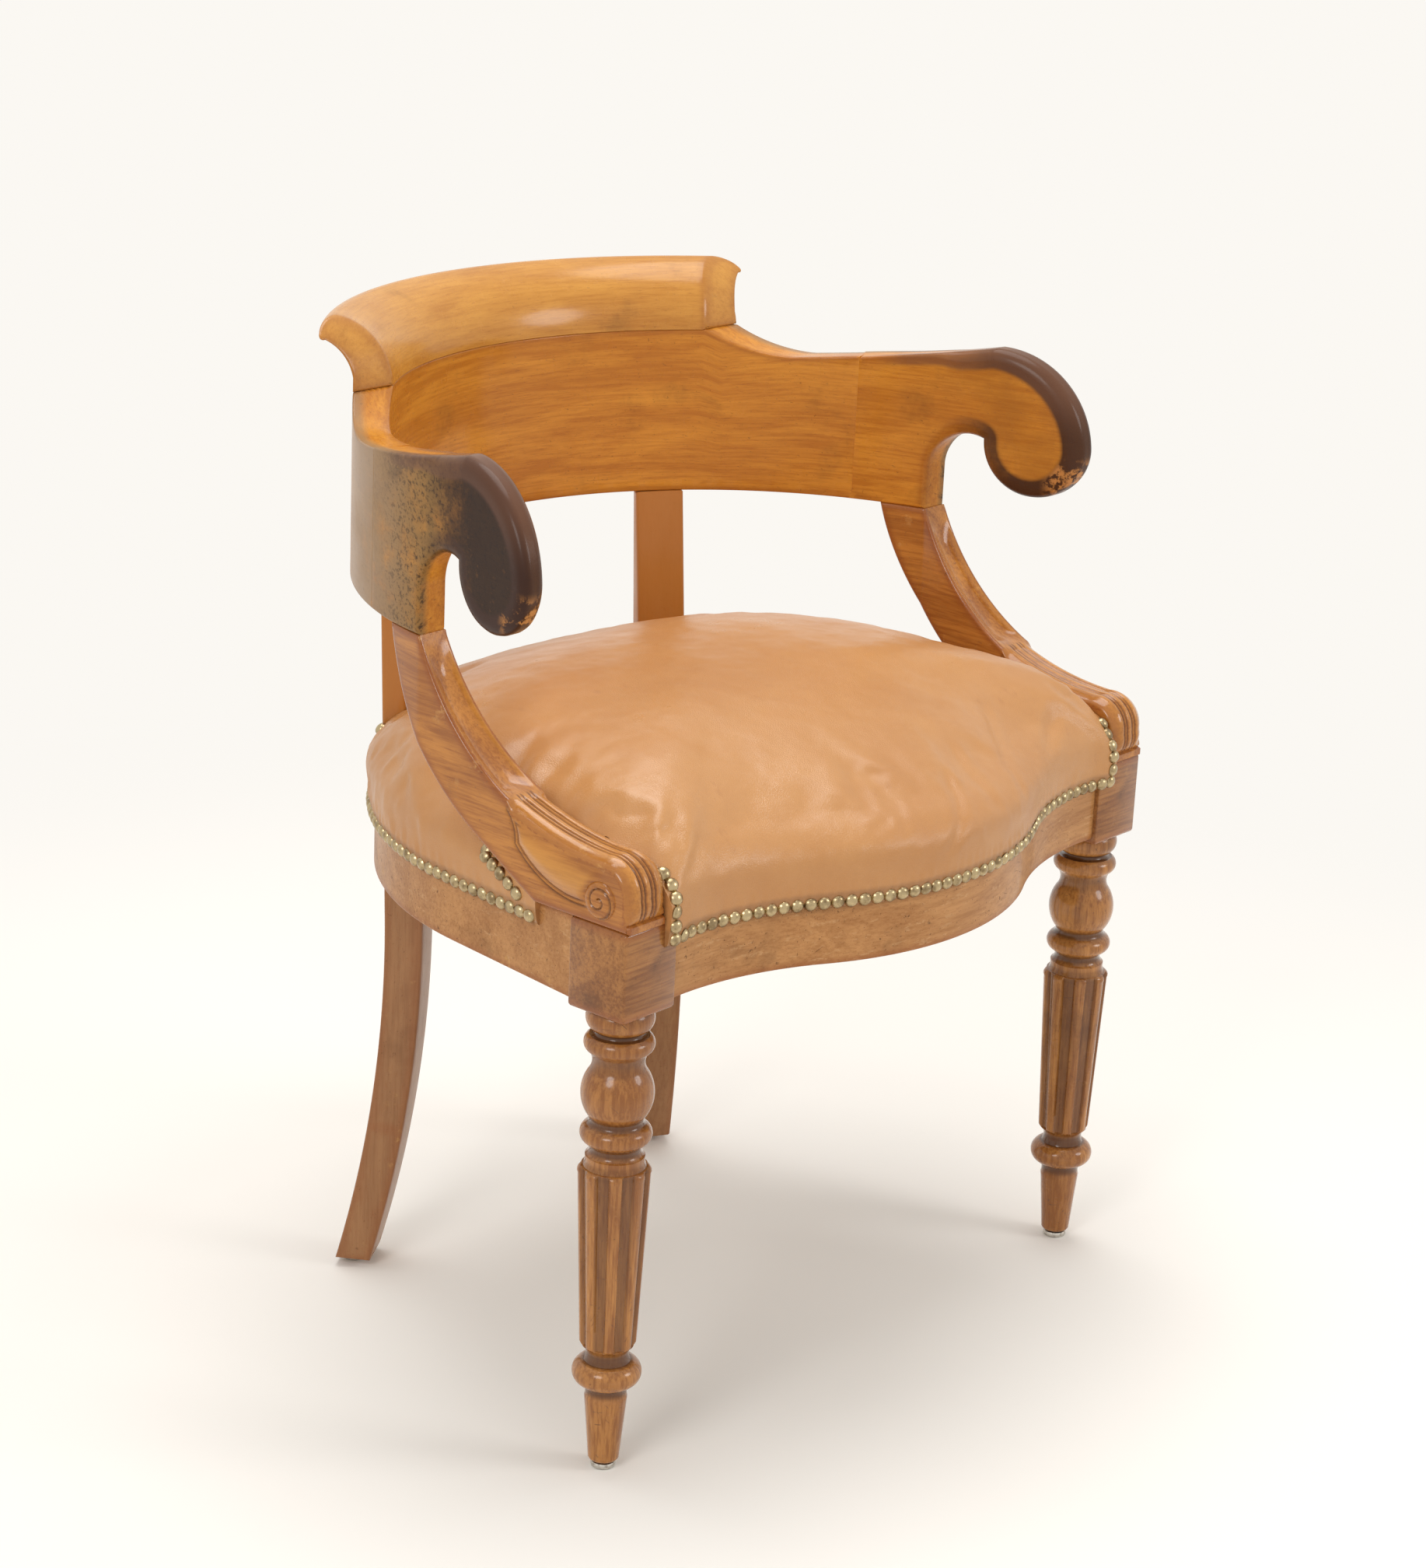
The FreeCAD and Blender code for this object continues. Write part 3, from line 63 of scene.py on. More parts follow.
class Outline:
    """Points along lines and three-point arcs, no further apart than a step in millimetres."""

    def __init__(self, u, v, step=2.5):
        self.points = [(u, v)]
        self.step = step

    def line(self, u, v):
        start = self.points[-1]
        count = max(1, math.ceil(math.dist(start, (u, v)) / self.step))
        for i in range(1, count + 1):
            share = i / count
            self.points.append((start[0] + (u - start[0]) * share, start[1] + (v - start[1]) * share))
        return self

    def arc(self, middle, end):
        a, b, c = (complex(*point) for point in (self.points[-1], middle, end))
        ratio = (c - a) / (b - a)
        centre = a + (b - a) * (ratio - abs(ratio) ** 2) / (2j * ratio.imag)
        first, mid, last = (cmath.phase(point - centre) for point in (a, b, c))
        sweep = (last - first) % math.tau
        if (mid - first) % math.tau > sweep:
            sweep -= math.tau
        count = max(2, math.ceil(abs(sweep) * abs(a - centre) / self.step))
        for i in range(1, count + 1):
            point = centre + (a - centre) * cmath.exp(1j * sweep * i / count)
            self.points.append((point.real, point.imag))
        return self


def smooth(low, high, value):
    share = min(1.0, max(0.0, (value - low) / (high - low)))
    return share * share * (3 - 2 * share)


def ring_faces(rings, count, base=0):
    """Four-sided faces between neighbouring rings of count points; base is the first ring's first point."""
    faces = []
    for ring in range(rings - 1):
        for step in range(count):
            a, b = base + ring * count + step, base + ring * count + (step + 1) % count
            faces.append((a, b, b + count, a + count))
    return faces


def in_scene(name, data):
    """Adds an object to the scene, at the origin."""
    thing = bpy.data.objects.new(name, data)
    bpy.context.scene.collection.objects.link(thing)
    return thing


def build(name, points, faces, board=None, edge=None, grime_shade_and_highlight=None, sharp=40):
    """A piece from points in millimetres.

    The wood's finish reads board, edge and dirt at each point: the place in the board, the distance to the
    nearest worn edge, and how much grime and painted shade or, below zero, bright wear and a painted
    highlight lies there.
    """
    mesh = bpy.data.meshes.new(name)
    mesh.from_pydata([Vector(point) * MM for point in points], [], faces)
    for label, values, unit in (("edge", edge, MM), ("grime_shade_and_highlight", grime_shade_and_highlight, 1.0)):
        if values is not None:
            layer = mesh.attributes.new(label, "FLOAT", "POINT")
            layer.data.foreach_set("value", [value * unit for value in values])
    if board is not None:
        flat = [value * MM for place in board for value in place]
        mesh.attributes.new("board", "FLOAT_VECTOR", "POINT").data.foreach_set("vector", flat)
    work = bmesh.new()
    work.from_mesh(mesh)
    bmesh.ops.delete(work, geom=[vert for vert in work.verts if not vert.link_faces], context="VERTS")
    bmesh.ops.remove_doubles(work, verts=work.verts, dist=1e-6)
    bmesh.ops.recalc_face_normals(work, faces=work.faces)
    work.to_mesh(mesh)
    work.free()
    mesh.shade_smooth()
    mesh.set_sharp_from_angle(angle=math.radians(sharp))
    return in_scene(name, mesh)


def fit(piece, slot, finish, *replaced):
    """Gives a piece its finish and sets it on the chair in place of its plain solids."""
    piece.data.materials.clear()
    piece.data.materials.append(finish)
    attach(piece, "root")
    if replaced:
        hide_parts(*replaced)


class Value:
    """A shader socket that takes sums as Python writes them."""

    def __init__(self, finish, socket):
        self.finish = finish
        self.socket = socket

    def math(self, operation, *others, swap=False):
        terms = [self, *others]
        if swap:
            terms.reverse()
        return self.finish.node("ShaderNodeMath", {"operation": operation}, dict(enumerate(terms)))

    def __add__(self, other):
        return self.math("ADD", other)

    def __sub__(self, other):
        return self.math("SUBTRACT", other)

    def __rsub__(self, other):
        return self.math("SUBTRACT", other, swap=True)

    def __mul__(self, other):
        return self.math("MULTIPLY", other)

    __radd__ = __add__
    __rmul__ = __mul__

    def clamp(self):
        return self.finish.node("ShaderNodeClamp", {}, {0: self})

    def ramp(self, low, high):
        """0 below low, 1 above high, eased between; low may be the larger."""
        return self.finish.node("ShaderNodeMapRange", {"interpolation_type": "SMOOTHSTEP"},
                                {0: self, 1: low, 2: high})


class Finish:
    """A material on the Principled shader; node() adds any node and returns one of its outputs."""

    def __init__(self, name):
        self.material = bpy.data.materials.new(name)
        self.material.use_nodes = True
        self.tree = self.material.node_tree
        self.shader = self.tree.nodes["Principled BSDF"]

    def join(self, value, socket):
        if isinstance(value, Value):
            self.tree.links.new(value.socket, socket)
        else:
            socket.default_value = value

    def node(self, kind, settings, inputs, output=0):
        made = self.tree.nodes.new(kind)
        for key, setting in settings.items():
            setattr(made, key, setting)
        for key, value in inputs.items():
            self.join(value, made.inputs[key])
        return Value(self, made.outputs[output])

    def set(self, **inputs):
        for key, value in inputs.items():
            self.join(value, self.shader.inputs[key.replace("_", " ")])

    def attribute(self, name, output=2):
        return self.node("ShaderNodeAttribute", {"attribute_name": name}, {}, output)

    def stretched(self, vector, scale):
        return self.node("ShaderNodeVectorMath", {"operation": "MULTIPLY"}, {0: vector, 1: scale})

    def turned(self, vector, turn, scale):
        """A vector turned about all three axes, then stretched."""
        return self.node("ShaderNodeMapping", {"vector_type": "TEXTURE"}, {
            "Vector": vector, "Rotation": (turn, turn, turn), "Scale": tuple(1 / part for part in scale)})

    def noise(self, vector, scale, detail=3.0, rough=0.55):
        return self.node("ShaderNodeTexNoise", {}, {"Vector": vector, "Scale": scale, "Detail": detail,
                                                    "Roughness": rough})

    def mix(self, share, low, high):
        """Blends two colours by a share from 0 to 1."""
        return self.node("ShaderNodeMix", {"data_type": "RGBA"}, {0: share, 6: low, 7: high}, 2)

    def axis(self, vector, which):
        return self.node("ShaderNodeSeparateXYZ", {}, {0: vector}, which)

    def bump(self, height, strength, distance):
        return self.node("ShaderNodeBump", {}, {"Height": height, "Strength": strength, "Distance": distance})


HONEY, AMBER, UMBER = (0.66, 0.275, 0.034, 1), (0.47, 0.165, 0.018, 1), (0.085, 0.028, 0.008, 1)
REDDISH, BARE, GOLDEN = (0.27, 0.072, 0.014, 1), (0.64, 0.35, 0.11, 1), (0.72, 0.34, 0.07, 1)
SCRATCH_TURNS = (0.35, -0.6, 1.2)


def wood(name, light, dark, streaks=0.5, edges=0.5, stains=0.35, worn=0.2, gloss=0.3, extra=None, dents=0.4,
         coat=0.35, shine=0.17):
    """Old varnished wood: long grain, broad figure, stains, dark edges, rubbed patches, scratches, dents."""
    finish = Finish(name)
    board = finish.attribute("board", 1)
    edge = (finish.attribute("edge") * -200.0).math("EXPONENT")
    grime_shade_and_highlight = finish.attribute("grime_shade_and_highlight")
    sway = finish.stretched(board, (5, 30, 30))
    figure = finish.node("ShaderNodeTexNoise", {}, {
        "Vector": sway, "Scale": 1.0, "Detail": 5.0, "Roughness": 0.62, "Distortion": 0.9})
    grain = finish.noise(finish.stretched(board, (22, 420, 420)), 1.0, 3.0, 0.65)
    pores = finish.noise(finish.stretched(board, (110, 1500, 1500)), 1.0, 2.0, 0.5)
    blotch = finish.noise(board, 17.0, 5.0, 0.62)
    rubbed = finish.noise(board, 46.0, 6.0, 0.7)
    tone = (figure.ramp(0.34, 0.66) * streaks + grain.ramp(0.38, 0.7) * (0.8 * streaks)).clamp()
    colour = finish.mix(tone, light, dark)
    colour = finish.mix(pores.ramp(0.58, 0.72) * 0.35, colour, REDDISH)
    colour = finish.mix(blotch.ramp(0.56, 0.76) * stains, colour, UMBER)
    rim = (edge.ramp(0.25, 1.0) * (0.4 + rubbed * 0.9) * edges).clamp()
    colour = finish.mix(rim, colour, REDDISH)
    scuffed = (rubbed.ramp(0.6, 0.72) * (0.35 + edge * 0.9) * worn).clamp()
    colour = finish.mix(scuffed, colour, BARE)
    specks = finish.noise(board, 210.0, 3.0, 0.6).ramp(0.66, 0.73)
    specks = specks * finish.noise(board, 34.0).ramp(0.42, 0.58)
    scratches = sum(finish.noise(finish.turned(board, turn, (16, 620, 620)), 1.0, 2.0).ramp(0.69, 0.76)
                    for turn in SCRATCH_TURNS)
    hurt = ((specks + scratches) * dents).clamp()
    colour = finish.mix(hurt, colour, UMBER)
    # Below zero: bright wear and a painted highlight on the carving. Above zero: grime, painted shade in
    # recesses.
    colour = finish.mix((grime_shade_and_highlight * -0.8).clamp(), colour, GOLDEN)
    colour = finish.mix((grime_shade_and_highlight * 0.85).clamp(), colour, UMBER)
    rough = blotch.ramp(0.35, 0.75) * 0.16 + scuffed * 0.3 + hurt * 0.25 + gloss
    if extra:
        colour, rough = extra(finish, board, edge, colour, rough)
    height = grain * 0.35 + pores * 0.2 + rubbed.ramp(0.6, 0.75) * -0.5 + hurt * -0.9
    finish.set(Base_Color=colour, Roughness=rough, Normal=finish.bump(height, 0.3, 0.0006))
    finish.set(Coat_Weight=coat, Coat_Roughness=0.13, Specular_IOR_Level=shine)
    return finish.material


def leg_profile():
    """Radius and height from the block down to the sole, as the lathe leaves it."""
    line = Outline(22, BLOCK_BOTTOM + 1, 1.6).line(22, BLOCK_BOTTOM)
    line.arc((24.5, 351), (21, 343.5)).arc((17, 341), (21.5, 338.5)).arc((25.3, 332.3), (21.5, 326))
    line.arc((18.8, 319.5), (20.5, 312)).arc((26.2, 295), (20, 276.5)).arc((19.3, 274), (21.5, 270.5))
    line.arc((25.9, 263.7), (21.5, 257)).arc((18.3, 252), (20.5, 247.5)).line(21.4, 247).line(21.4, 242.5)
    line.line(22.6, SHAFT_TOP).arc((25.6, 237.6), (26.0, 233))
    line.line(20.6, 102).arc((20, 99.6), (17.6, SHAFT_BOTTOM))
    line.arc((15.6, 93), (17, 86.5)).arc((25.3, 77), (17, 67.5)).arc((15.1, 62), (15.6, 57))
    line.line(11.4, 9).arc((11.0, 7.2), (9.6, 6.2)).line(0.4, 6.2)
    return line.points


def reeded(radius, height, turn):
    """Radius of the shaft with its raised reeds; elsewhere the plain turned radius."""
    if not SHAFT_BOTTOM + 0.5 < height < SHAFT_TOP - 0.5:
        return radius
    along = (height - SHAFT_BOTTOM) / (SHAFT_TOP - SHAFT_BOTTOM)
    core = 17.2 + 5.6 * along
    half_reed = 4.1 + 1.0 * along
    from_reed = abs((turn * REEDS / math.tau + 0.5) % 1.0 - 0.5) * math.tau / REEDS * radius
    raised = 1 - smooth(half_reed - 1.0, half_reed + 1.0, from_reed)
    crown = 0.7 * (from_reed / half_reed) ** 2 if from_reed < half_reed else 0.7
    return min(radius, max(core, core + (radius - crown - core) * raised))


def hollow(profile, index, reach):
    """How deep a point of a profile lies below its neighbours, from 0 to 1; grime and painted shade go there.
    """
    near = [radius for radius, height in profile if abs(height - profile[index][1]) < reach]
    return min(1.0, max(0.0, (sum(near) / len(near) - profile[index][0] - 0.2) / 2.6))


def turned_leg(name, x, y, turns=112):
    """The round part of a front leg, from under its block to the sole."""
    profile = leg_profile()
    points, board, grime_shade_and_highlight = [], [], []
    for row, (radius, height) in enumerate(profile):
        recess = hollow(profile, row, 9.0)
        for step in range(turns):
            turn = math.tau * step / turns
            real = reeded(radius, height, turn)
            across, deep = real * math.sin(turn), -real * math.cos(turn)
            points.append((x + across, y + deep, height))
            board.append((height, x + across, deep))
            # Grime and painted shade darken the turned recesses and the flutes between the reeds.
            grime_shade_and_highlight.append(min(1.0, 1.2 * recess + (radius - real) / 5.0))
    faces = ring_faces(len(profile), turns)
    faces.append(tuple(range(turns)))
    faces.append(tuple(range((len(profile) - 1) * turns, len(profile) * turns)))
    return build(name, points, faces, board, [FAR] * len(points), grime_shade_and_highlight)


def inward(points):
    """Inward normals of a closed outline drawn anticlockwise."""
    ring = np.array(points)
    after, before = np.roll(ring, -1, 0) - ring, ring - np.roll(ring, 1, 0)
    after /= np.linalg.norm(after, axis=1, keepdims=True)
    before /= np.linalg.norm(before, axis=1, keepdims=True)
    lean = after + before
    lean /= np.maximum(np.linalg.norm(lean, axis=1, keepdims=True), 1e-6)
    stretch = 1 / np.maximum((lean * after).sum(1, keepdims=True), 0.6)
    return np.stack([-lean[:, 1], lean[:, 0]], 1) * stretch


def tidy_ring(points):
    """Drops repeated points and turns the outline anticlockwise."""
    ring = [point for i, point in enumerate(points) if math.dist(point, points[i - 1]) > 1e-4]
    area = sum(a[0] * b[1] - b[0] * a[1] for a, b in zip(ring, ring[1:] + ring[:1]))
    return ring if area > 0 else ring[::-1]


def cap_fill(ring, spread, marks):
    """Points and triangles that fill an outline, on a grid and through any marked points."""
    low, high = ring.min(0), ring.max(0)
    inner = np.array(marks, float).reshape(-1, 2)
    if spread:
        columns = np.arange(low[0] + spread / 2, high[0], spread)
        rows = np.arange(low[1] + spread / 2, high[1], spread)
        grid = np.stack(np.meshgrid(columns, rows), -1).reshape(-1, 2)
        taken = np.concatenate([ring, inner])
        gaps = np.linalg.norm(grid[:, None] - taken[None], axis=2).min(1)
        inner = np.concatenate([inner, grid[gaps > 0.55 * spread]])
    count = len(ring)
    places = [Vector(place) for place in np.concatenate([ring, inner])]
    loop = [(i, (i + 1) % count) for i in range(count)]
    verts, _, tris, *_ = geometry.delaunay_2d_cdt(places, loop, [], 1, 1e-5)
    return [tuple(vert) for vert in verts], [tuple(tri) for tri in tris]


def board_piece(name, outline, half, ease, place, spread=0, stations=1, carve=None, marks=(), grime_shade_and_highlight_at=None,
                sharp=40, joint=None):
    """A sawn piece: an outline given thickness, with eased edges, set in space by place(u, v, w).

    ease is the edges' radius, or a function of (u, v) that gives it. carve(u, v, w) cuts into the piece's
    edge, grime_shade_and_highlight_at(u, v, w, depth) says where dark grime and painted shade or, below zero,
    bright wear and a painted highlight lie, and joint(u, v) which of its edges lie in a joint and aren't
    worn.
    """
    ring = tidy_ring(outline)
    jointed = [bool(joint and joint(u, v)) for u, v in ring]
    normals = inward(ring)
    flat = np.array(ring)
    radii = [ease(u, v) if callable(ease) else ease for u, v in ring]
    worn_ring = np.array([point for point, hidden in zip(ring, jointed) if not hidden])
    worn_radii = [radius for radius, hidden in zip(radii, jointed) if not hidden]
    turns = [math.pi / 2 * k / 4 for k in range(5)]
    levels = [(-1, turn) for turn in reversed(turns)]
    levels += [(2 * k / stations - 1, 0.0) for k in range(1, stations)] + [(1, turn) for turn in turns]
    points, board, edge, grime_shade_and_highlight = [], [], [], []

    def add(u, v, w, rim, depth):
        points.append(place(u, v, w))
        board.append((u, v, w))
        edge.append(rim)
        grime_shade_and_highlight.append(grime_shade_and_highlight_at(u, v, w, depth) if grime_shade_and_highlight_at else 0.0)

    for share, turn in levels:
        for (u, v), normal, radius, hidden in zip(ring, normals, radii, jointed):
            w = share * (half - radius + radius * math.sin(turn))
            depth = carve(u, v, w) if carve else 0.0
            step = normal * (radius * (1 - math.cos(turn)) + depth)
            rim = FAR if hidden else max(0.0, half - radius - abs(w))
            add(u + step[0], v + step[1], w, rim, depth)
    faces = ring_faces(len(levels), len(ring))
    for share in (-1, 1):
        insets = np.array([radius + (carve(u, v, share * half) if carve else 0.0)
                           for (u, v), radius in zip(ring, radii)])
        verts, tris = cap_fill(flat + normals * insets[:, None], spread, marks)
        base = len(points)
        for u, v in verts:
            gaps = np.linalg.norm(worn_ring - (u, v), axis=1)
            add(u, v, share * half, max(0.0, gaps.min() - worn_radii[gaps.argmin()]), 0.0)
        faces.extend(tuple(base + i for i in tri) for tri in tris)
    return build(name, points, faces, board, edge, grime_shade_and_highlight, sharp)


def rounded_square(half, corner):
    """A square outline with round corners."""
    inset = corner * 0.29
    line = Outline(half - corner, -half, 3)
    points = line.arc((half - inset, -half + inset), (half, -half + corner)).points
    quarter = list(points)
    for _ in range(3):
        quarter = [(-v, u) for u, v in quarter]
        points = points + quarter
    return points


leg_wood = wood("leg_varnish", (0.52, 0.23, 0.06, 1), (0.26, 0.092, 0.02, 1), 0.75, 0.5, 0.5, 0.5, 0.2,
                dents=0.6, coat=0.6)
block_wood = wood("block_varnish", (0.42, 0.18, 0.047, 1), (0.21, 0.073, 0.016, 1), 0.75, 0.6, 0.75, 0.6, 0.2,
                  dents=0.6, coat=0.6)
block_half = (SEAT_TOP - BLOCK_BOTTOM) / 2
for side, sign in SIDES.items():
    leg_y = AXIS_Y + LEG_REACH
    leg = turned_leg(f"{side}_leg_turning", sign * LEG_X, leg_y)
    fit(leg, "varnished_wood", leg_wood, f"{side}_front_leg")

    def in_block(u, v, w, x=sign * LEG_X, y=leg_y):
        return x + u, y + v, (SEAT_TOP + BLOCK_BOTTOM) / 2 + w

    block = board_piece(f"{side}_leg_block", rounded_square(BLOCK_WIDTH / 2, 2.0), block_half, 3.0,
                        in_block, 6, 12)
    fit(block, "varnished_wood", block_wood)


# Sabre rear legs. Each is sawn from one plank, with a straight post above the seat that is tenoned into the
# back band and a curved foot below it; plain brown varnish, less rubbed than the front.

REAR_ANGLE, REAR_WIDTH, REAR_SPLAY = 33.0, 40.0, 1.5
RAIL_RADIUS = 287.0
BAND_BOTTOM = 590.0
LEG_LIFT = 6.0


def on_back(radius, angle, height=0.0):
    """A point round the back's axis; the angle is zero at the back and grows to the sitter's right."""
    turn = math.radians(angle)
    return Vector((-radius * math.sin(turn), AXIS_Y + radius * math.cos(turn), height))


def rear_leg_outline(grow=0.0):
    """Radius and height of a leg's side view, made wider both ways by grow; it runs on below the floor."""
    line = Outline(290 + grow, BAND_BOTTOM, 4).line(280.5 + grow, 300)
    line.arc(((280.5 + 319) / 2 - 12 + grow, 145), (319 + grow, -10)).line(291 - grow, -10)
    line.arc(((250 + 291) / 2 - 12 - grow, 145), (250 - grow, 300))
    return line.line(279 - grow, BAND_BOTTOM).points


def rear_leg_place(angle):
    """Sets a leg's outline (radius, height, width) in space, with its foot leaning out."""
    turn = math.radians(angle)
    radial = Vector((-math.sin(turn), math.cos(turn), 0))
    across = radial.cross(Vector((0, 0, 1)))
    pivot = on_back(RAIL_RADIUS, angle, SEAT_TOP)
    lean = Matrix.Rotation(math.radians(math.copysign(REAR_SPLAY, angle)), 4, radial)

    def place(u, v, w):
        point = Vector((0, AXIS_Y, 0)) + radial * u + across * w + Vector((0, 0, v))
        point = pivot + lean @ (point - pivot)
        point.z = min(BAND_BOTTOM, max(LEG_LIFT, point.z))
        return tuple(point)

    return place


def above(points, floor):
    """Trims an outline level at a floor."""
    kept = []
    for (u0, v0), (u1, v1) in zip(points, points[1:] + points[:1]):
        if v0 >= floor:
            kept.append((u0, v0))
        if (v0 - floor) * (v1 - floor) < 0:
            share = (floor - v0) / (v1 - v0)
            kept.append((u0 + (u1 - u0) * share, floor))
    return kept


def upright(place):
    """Swaps the drawing's axes, so that the grain runs up the piece."""
    return lambda u, v, w: place(v, u, w)


def redder_post(finish, board, edge, colour, rough):
    """Above the seat the varnish is fresher and redder than on the foot."""
    fresh = finish.axis(board, 0).ramp(0.40, 0.48)
    streak = finish.noise(finish.stretched(board, (12, 120, 120)), 1.0)
    warm = finish.mix(streak, (0.50, 0.19, 0.035, 1), AMBER)
    return finish.mix(fresh * 0.85, colour, warm), rough - fresh * 0.1


rear_wood = wood("rear_leg_varnish", (0.37, 0.18, 0.075, 1), (0.25, 0.11, 0.042, 1), 0.5, 0.35, 0.25, 0.3,
                 0.42, redder_post)
for side, sign in SIDES.items():
    turned_outline = [(v, u) for u, v in above(rear_leg_outline(), LEG_LIFT)]
    rear = board_piece(f"{side}_sabre_leg", turned_outline, REAR_WIDTH / 2, 2.4,
                       upright(rear_leg_place(-sign * REAR_ANGLE)), 12, 4)
    fit(rear, "varnished_wood", rear_wood, f"{side}_rear_leg")


# Seat rails. The serpentine front rail and the curved side and back rails are sawn from thick boards and
# tenoned into the legs; their faces are rubbed, dented and paler than the back.

RAIL_BOTTOM, RAIL_THICK = 363.0, 28.0
RAIL_FACE = LEG_REACH - BLOCK_WIDTH / 2 + 4.0
BOW, BOW_SPAN, RAIL_FLARE = 62.0, 238.0, 7.5
BOW_RADIUS = (BOW_SPAN ** 2 + BOW ** 2) / (4 * BOW)


def bow_arcs(line, grow, direction):
    """The serpentine of three tangent arcs, moved forward by grow; direction is 1 from right to left."""
    lean = math.asin(BOW_SPAN / 2 / BOW_RADIUS)
    meet_x = (BOW_RADIUS + grow) * math.sin(lean)
    meet_y = RAIL_FACE - BOW + BOW_RADIUS - (BOW_RADIUS + grow) * math.cos(lean)
    side_x = BOW_SPAN - (BOW_RADIUS - grow) * math.sin(lean / 2)
    side_y = RAIL_FACE - BOW_RADIUS + (BOW_RADIUS - grow) * math.cos(lean / 2)
    line.arc((-direction * side_x, side_y), (-direction * meet_x, meet_y))
    line.arc((0, RAIL_FACE - BOW - grow), (direction * meet_x, meet_y))
    return line.arc((direction * side_x, side_y), (direction * BOW_SPAN, RAIL_FACE - grow))


def front_rail_outline():
    end, back = LEG_X - BLOCK_WIDTH / 2, RAIL_FACE + RAIL_THICK
    line = bow_arcs(Outline(-end, RAIL_FACE, 5).line(-BOW_SPAN, RAIL_FACE), 0.0, 1)
    line.line(end, RAIL_FACE).line(end, back).line(BOW_SPAN, back)
    return bow_arcs(line, -RAIL_THICK, -1).line(-end, back).line(-end, RAIL_FACE).points


def flared(radius, flare, reach):
    """Half width of a curved side at a reach: the circle at the back, then a straight flare."""
    turn = math.radians(flare)
    x, y = radius * math.cos(turn), radius * math.sin(turn)
    if reach > y:
        return math.sqrt(max(0.0, radius ** 2 - reach ** 2))
    return x + (y - reach) * math.tan(turn)


def side_rail_outline():
    front = LEG_REACH + BLOCK_WIDTH / 2
    last = REAR_ANGLE + math.degrees((REAR_WIDTH / 2) / RAIL_RADIUS)
    rows = {}
    for radius in (RAIL_RADIUS, RAIL_RADIUS - RAIL_THICK):
        end = radius * math.cos(math.radians(last))
        reaches = np.linspace(front, end, 70)
        rows[radius] = [(flared(radius, RAIL_FLARE, reach), reach) for reach in reaches]
    return rows[RAIL_RADIUS] + rows[RAIL_RADIUS - RAIL_THICK][::-1]


def back_rail_outline():
    first = REAR_ANGLE - math.degrees((REAR_WIDTH / 2) / RAIL_RADIUS)
    turns = [math.radians(angle) for angle in np.linspace(-first, first, 50)]
    outer = [(RAIL_RADIUS * math.sin(turn), RAIL_RADIUS * math.cos(turn)) for turn in turns]
    inner_radius = RAIL_RADIUS - RAIL_THICK
    inner = [(inner_radius * math.sin(turn), inner_radius * math.cos(turn)) for turn in turns]
    return outer + inner[::-1]


def in_rail(sign):
    middle = (SEAT_TOP + RAIL_BOTTOM) / 2
    return lambda u, v, w: (sign * u, AXIS_Y + v, middle + w)


def scuffed_rail(finish, board, edge, colour, rough):
    """Dark specks, dents and rubbed scuffs all over the rails."""
    cloud = finish.noise(board, 20.0, 4.0, 0.6)
    fine = finish.noise(board, 300.0, 4.0, 0.7)
    rubs = finish.noise(finish.stretched(board, (60, 60, 240)), 1.0, 4.0, 0.65)
    dark = (fine.ramp(0.6, 0.7) * cloud.ramp(0.48, 0.62) * 0.7 + rubs.ramp(0.64, 0.74) * 0.35).clamp()
    pale = (rubs.ramp(0.44, 0.34) * fine.ramp(0.6, 0.45) * 0.4).clamp()
    colour = finish.mix(pale, colour, (0.60, 0.36, 0.17, 1))
    return finish.mix(dark, colour, (0.11, 0.05, 0.022, 1)), rough + dark * 0.2


rail_wood = wood("rail_varnish", (0.52, 0.255, 0.092, 1), (0.35, 0.15, 0.046, 1), 0.6, 0.6, 0.4, 0.6, 0.36,
                 scuffed_rail, 0.8, 0.2)
rail_half = (SEAT_TOP - RAIL_BOTTOM) / 2
for label, outline, sign, node in (("front", front_rail_outline(), 1, "front_rail"),
                                   ("right", side_rail_outline(), SIDES["right"], "right_side_rail"),
                                   ("left", side_rail_outline(), SIDES["left"], "left_side_rail"),
                                   ("back", back_rail_outline(), 1, "back_rail")):
    rail = board_piece(f"{label}_seat_rail", outline, rail_half, 1.8, in_rail(sign), 0, 12)
    fit(rail, "varnished_wood", rail_wood, node)


# Back band. A broad board bent round the sitter's back, honey-coloured with a strong figure; the crest is
# tongued to its top edge and an arm to each end.

BAND_RADIUS, BAND_THICK = 308.0, 27.5
BAND_MID = BAND_RADIUS - BAND_THICK / 2
ARM_ANGLE = 65.0
SEAM = 724.0
CREST_FOOT = 219.0
SCROLL_TOP = (11, 729)
WORN_TAN = (0.29, 0.185, 0.095, 1)

top_line = Outline(CREST_FOOT, SEAM, 1.5).arc((193.5, 708.5), (168, 703.5)).arc((90, 713.5), SCROLL_TOP)
top_reach, top_height = (np.array(column)[::-1] for column in zip(*top_line.points))


def band_top(reach):
    """Height of the top edge of the band and arms at a reach."""
    return float(np.interp(reach, top_reach, top_height))


def in_band(u, v, w):
    turn = u / BAND_MID
    radius = BAND_MID + w
    share = (v - BAND_BOTTOM) / (band_top(BAND_MID * math.cos(turn)) - BAND_BOTTOM)
    height = BAND_BOTTOM + share * (band_top(radius * math.cos(turn)) - BAND_BOTTOM)
    return -radius * math.sin(turn), AXIS_Y + radius * math.cos(turn), height


band_turns = [math.radians(angle) for angle in np.linspace(-ARM_ANGLE, ARM_ANGLE, 180)]
band_outline = [(BAND_MID * turn, BAND_BOTTOM) for turn in band_turns]
band_outline += [(BAND_MID * turn, band_top(BAND_MID * math.cos(turn))) for turn in reversed(band_turns)]
BAND_END = BAND_MID * math.radians(ARM_ANGLE)


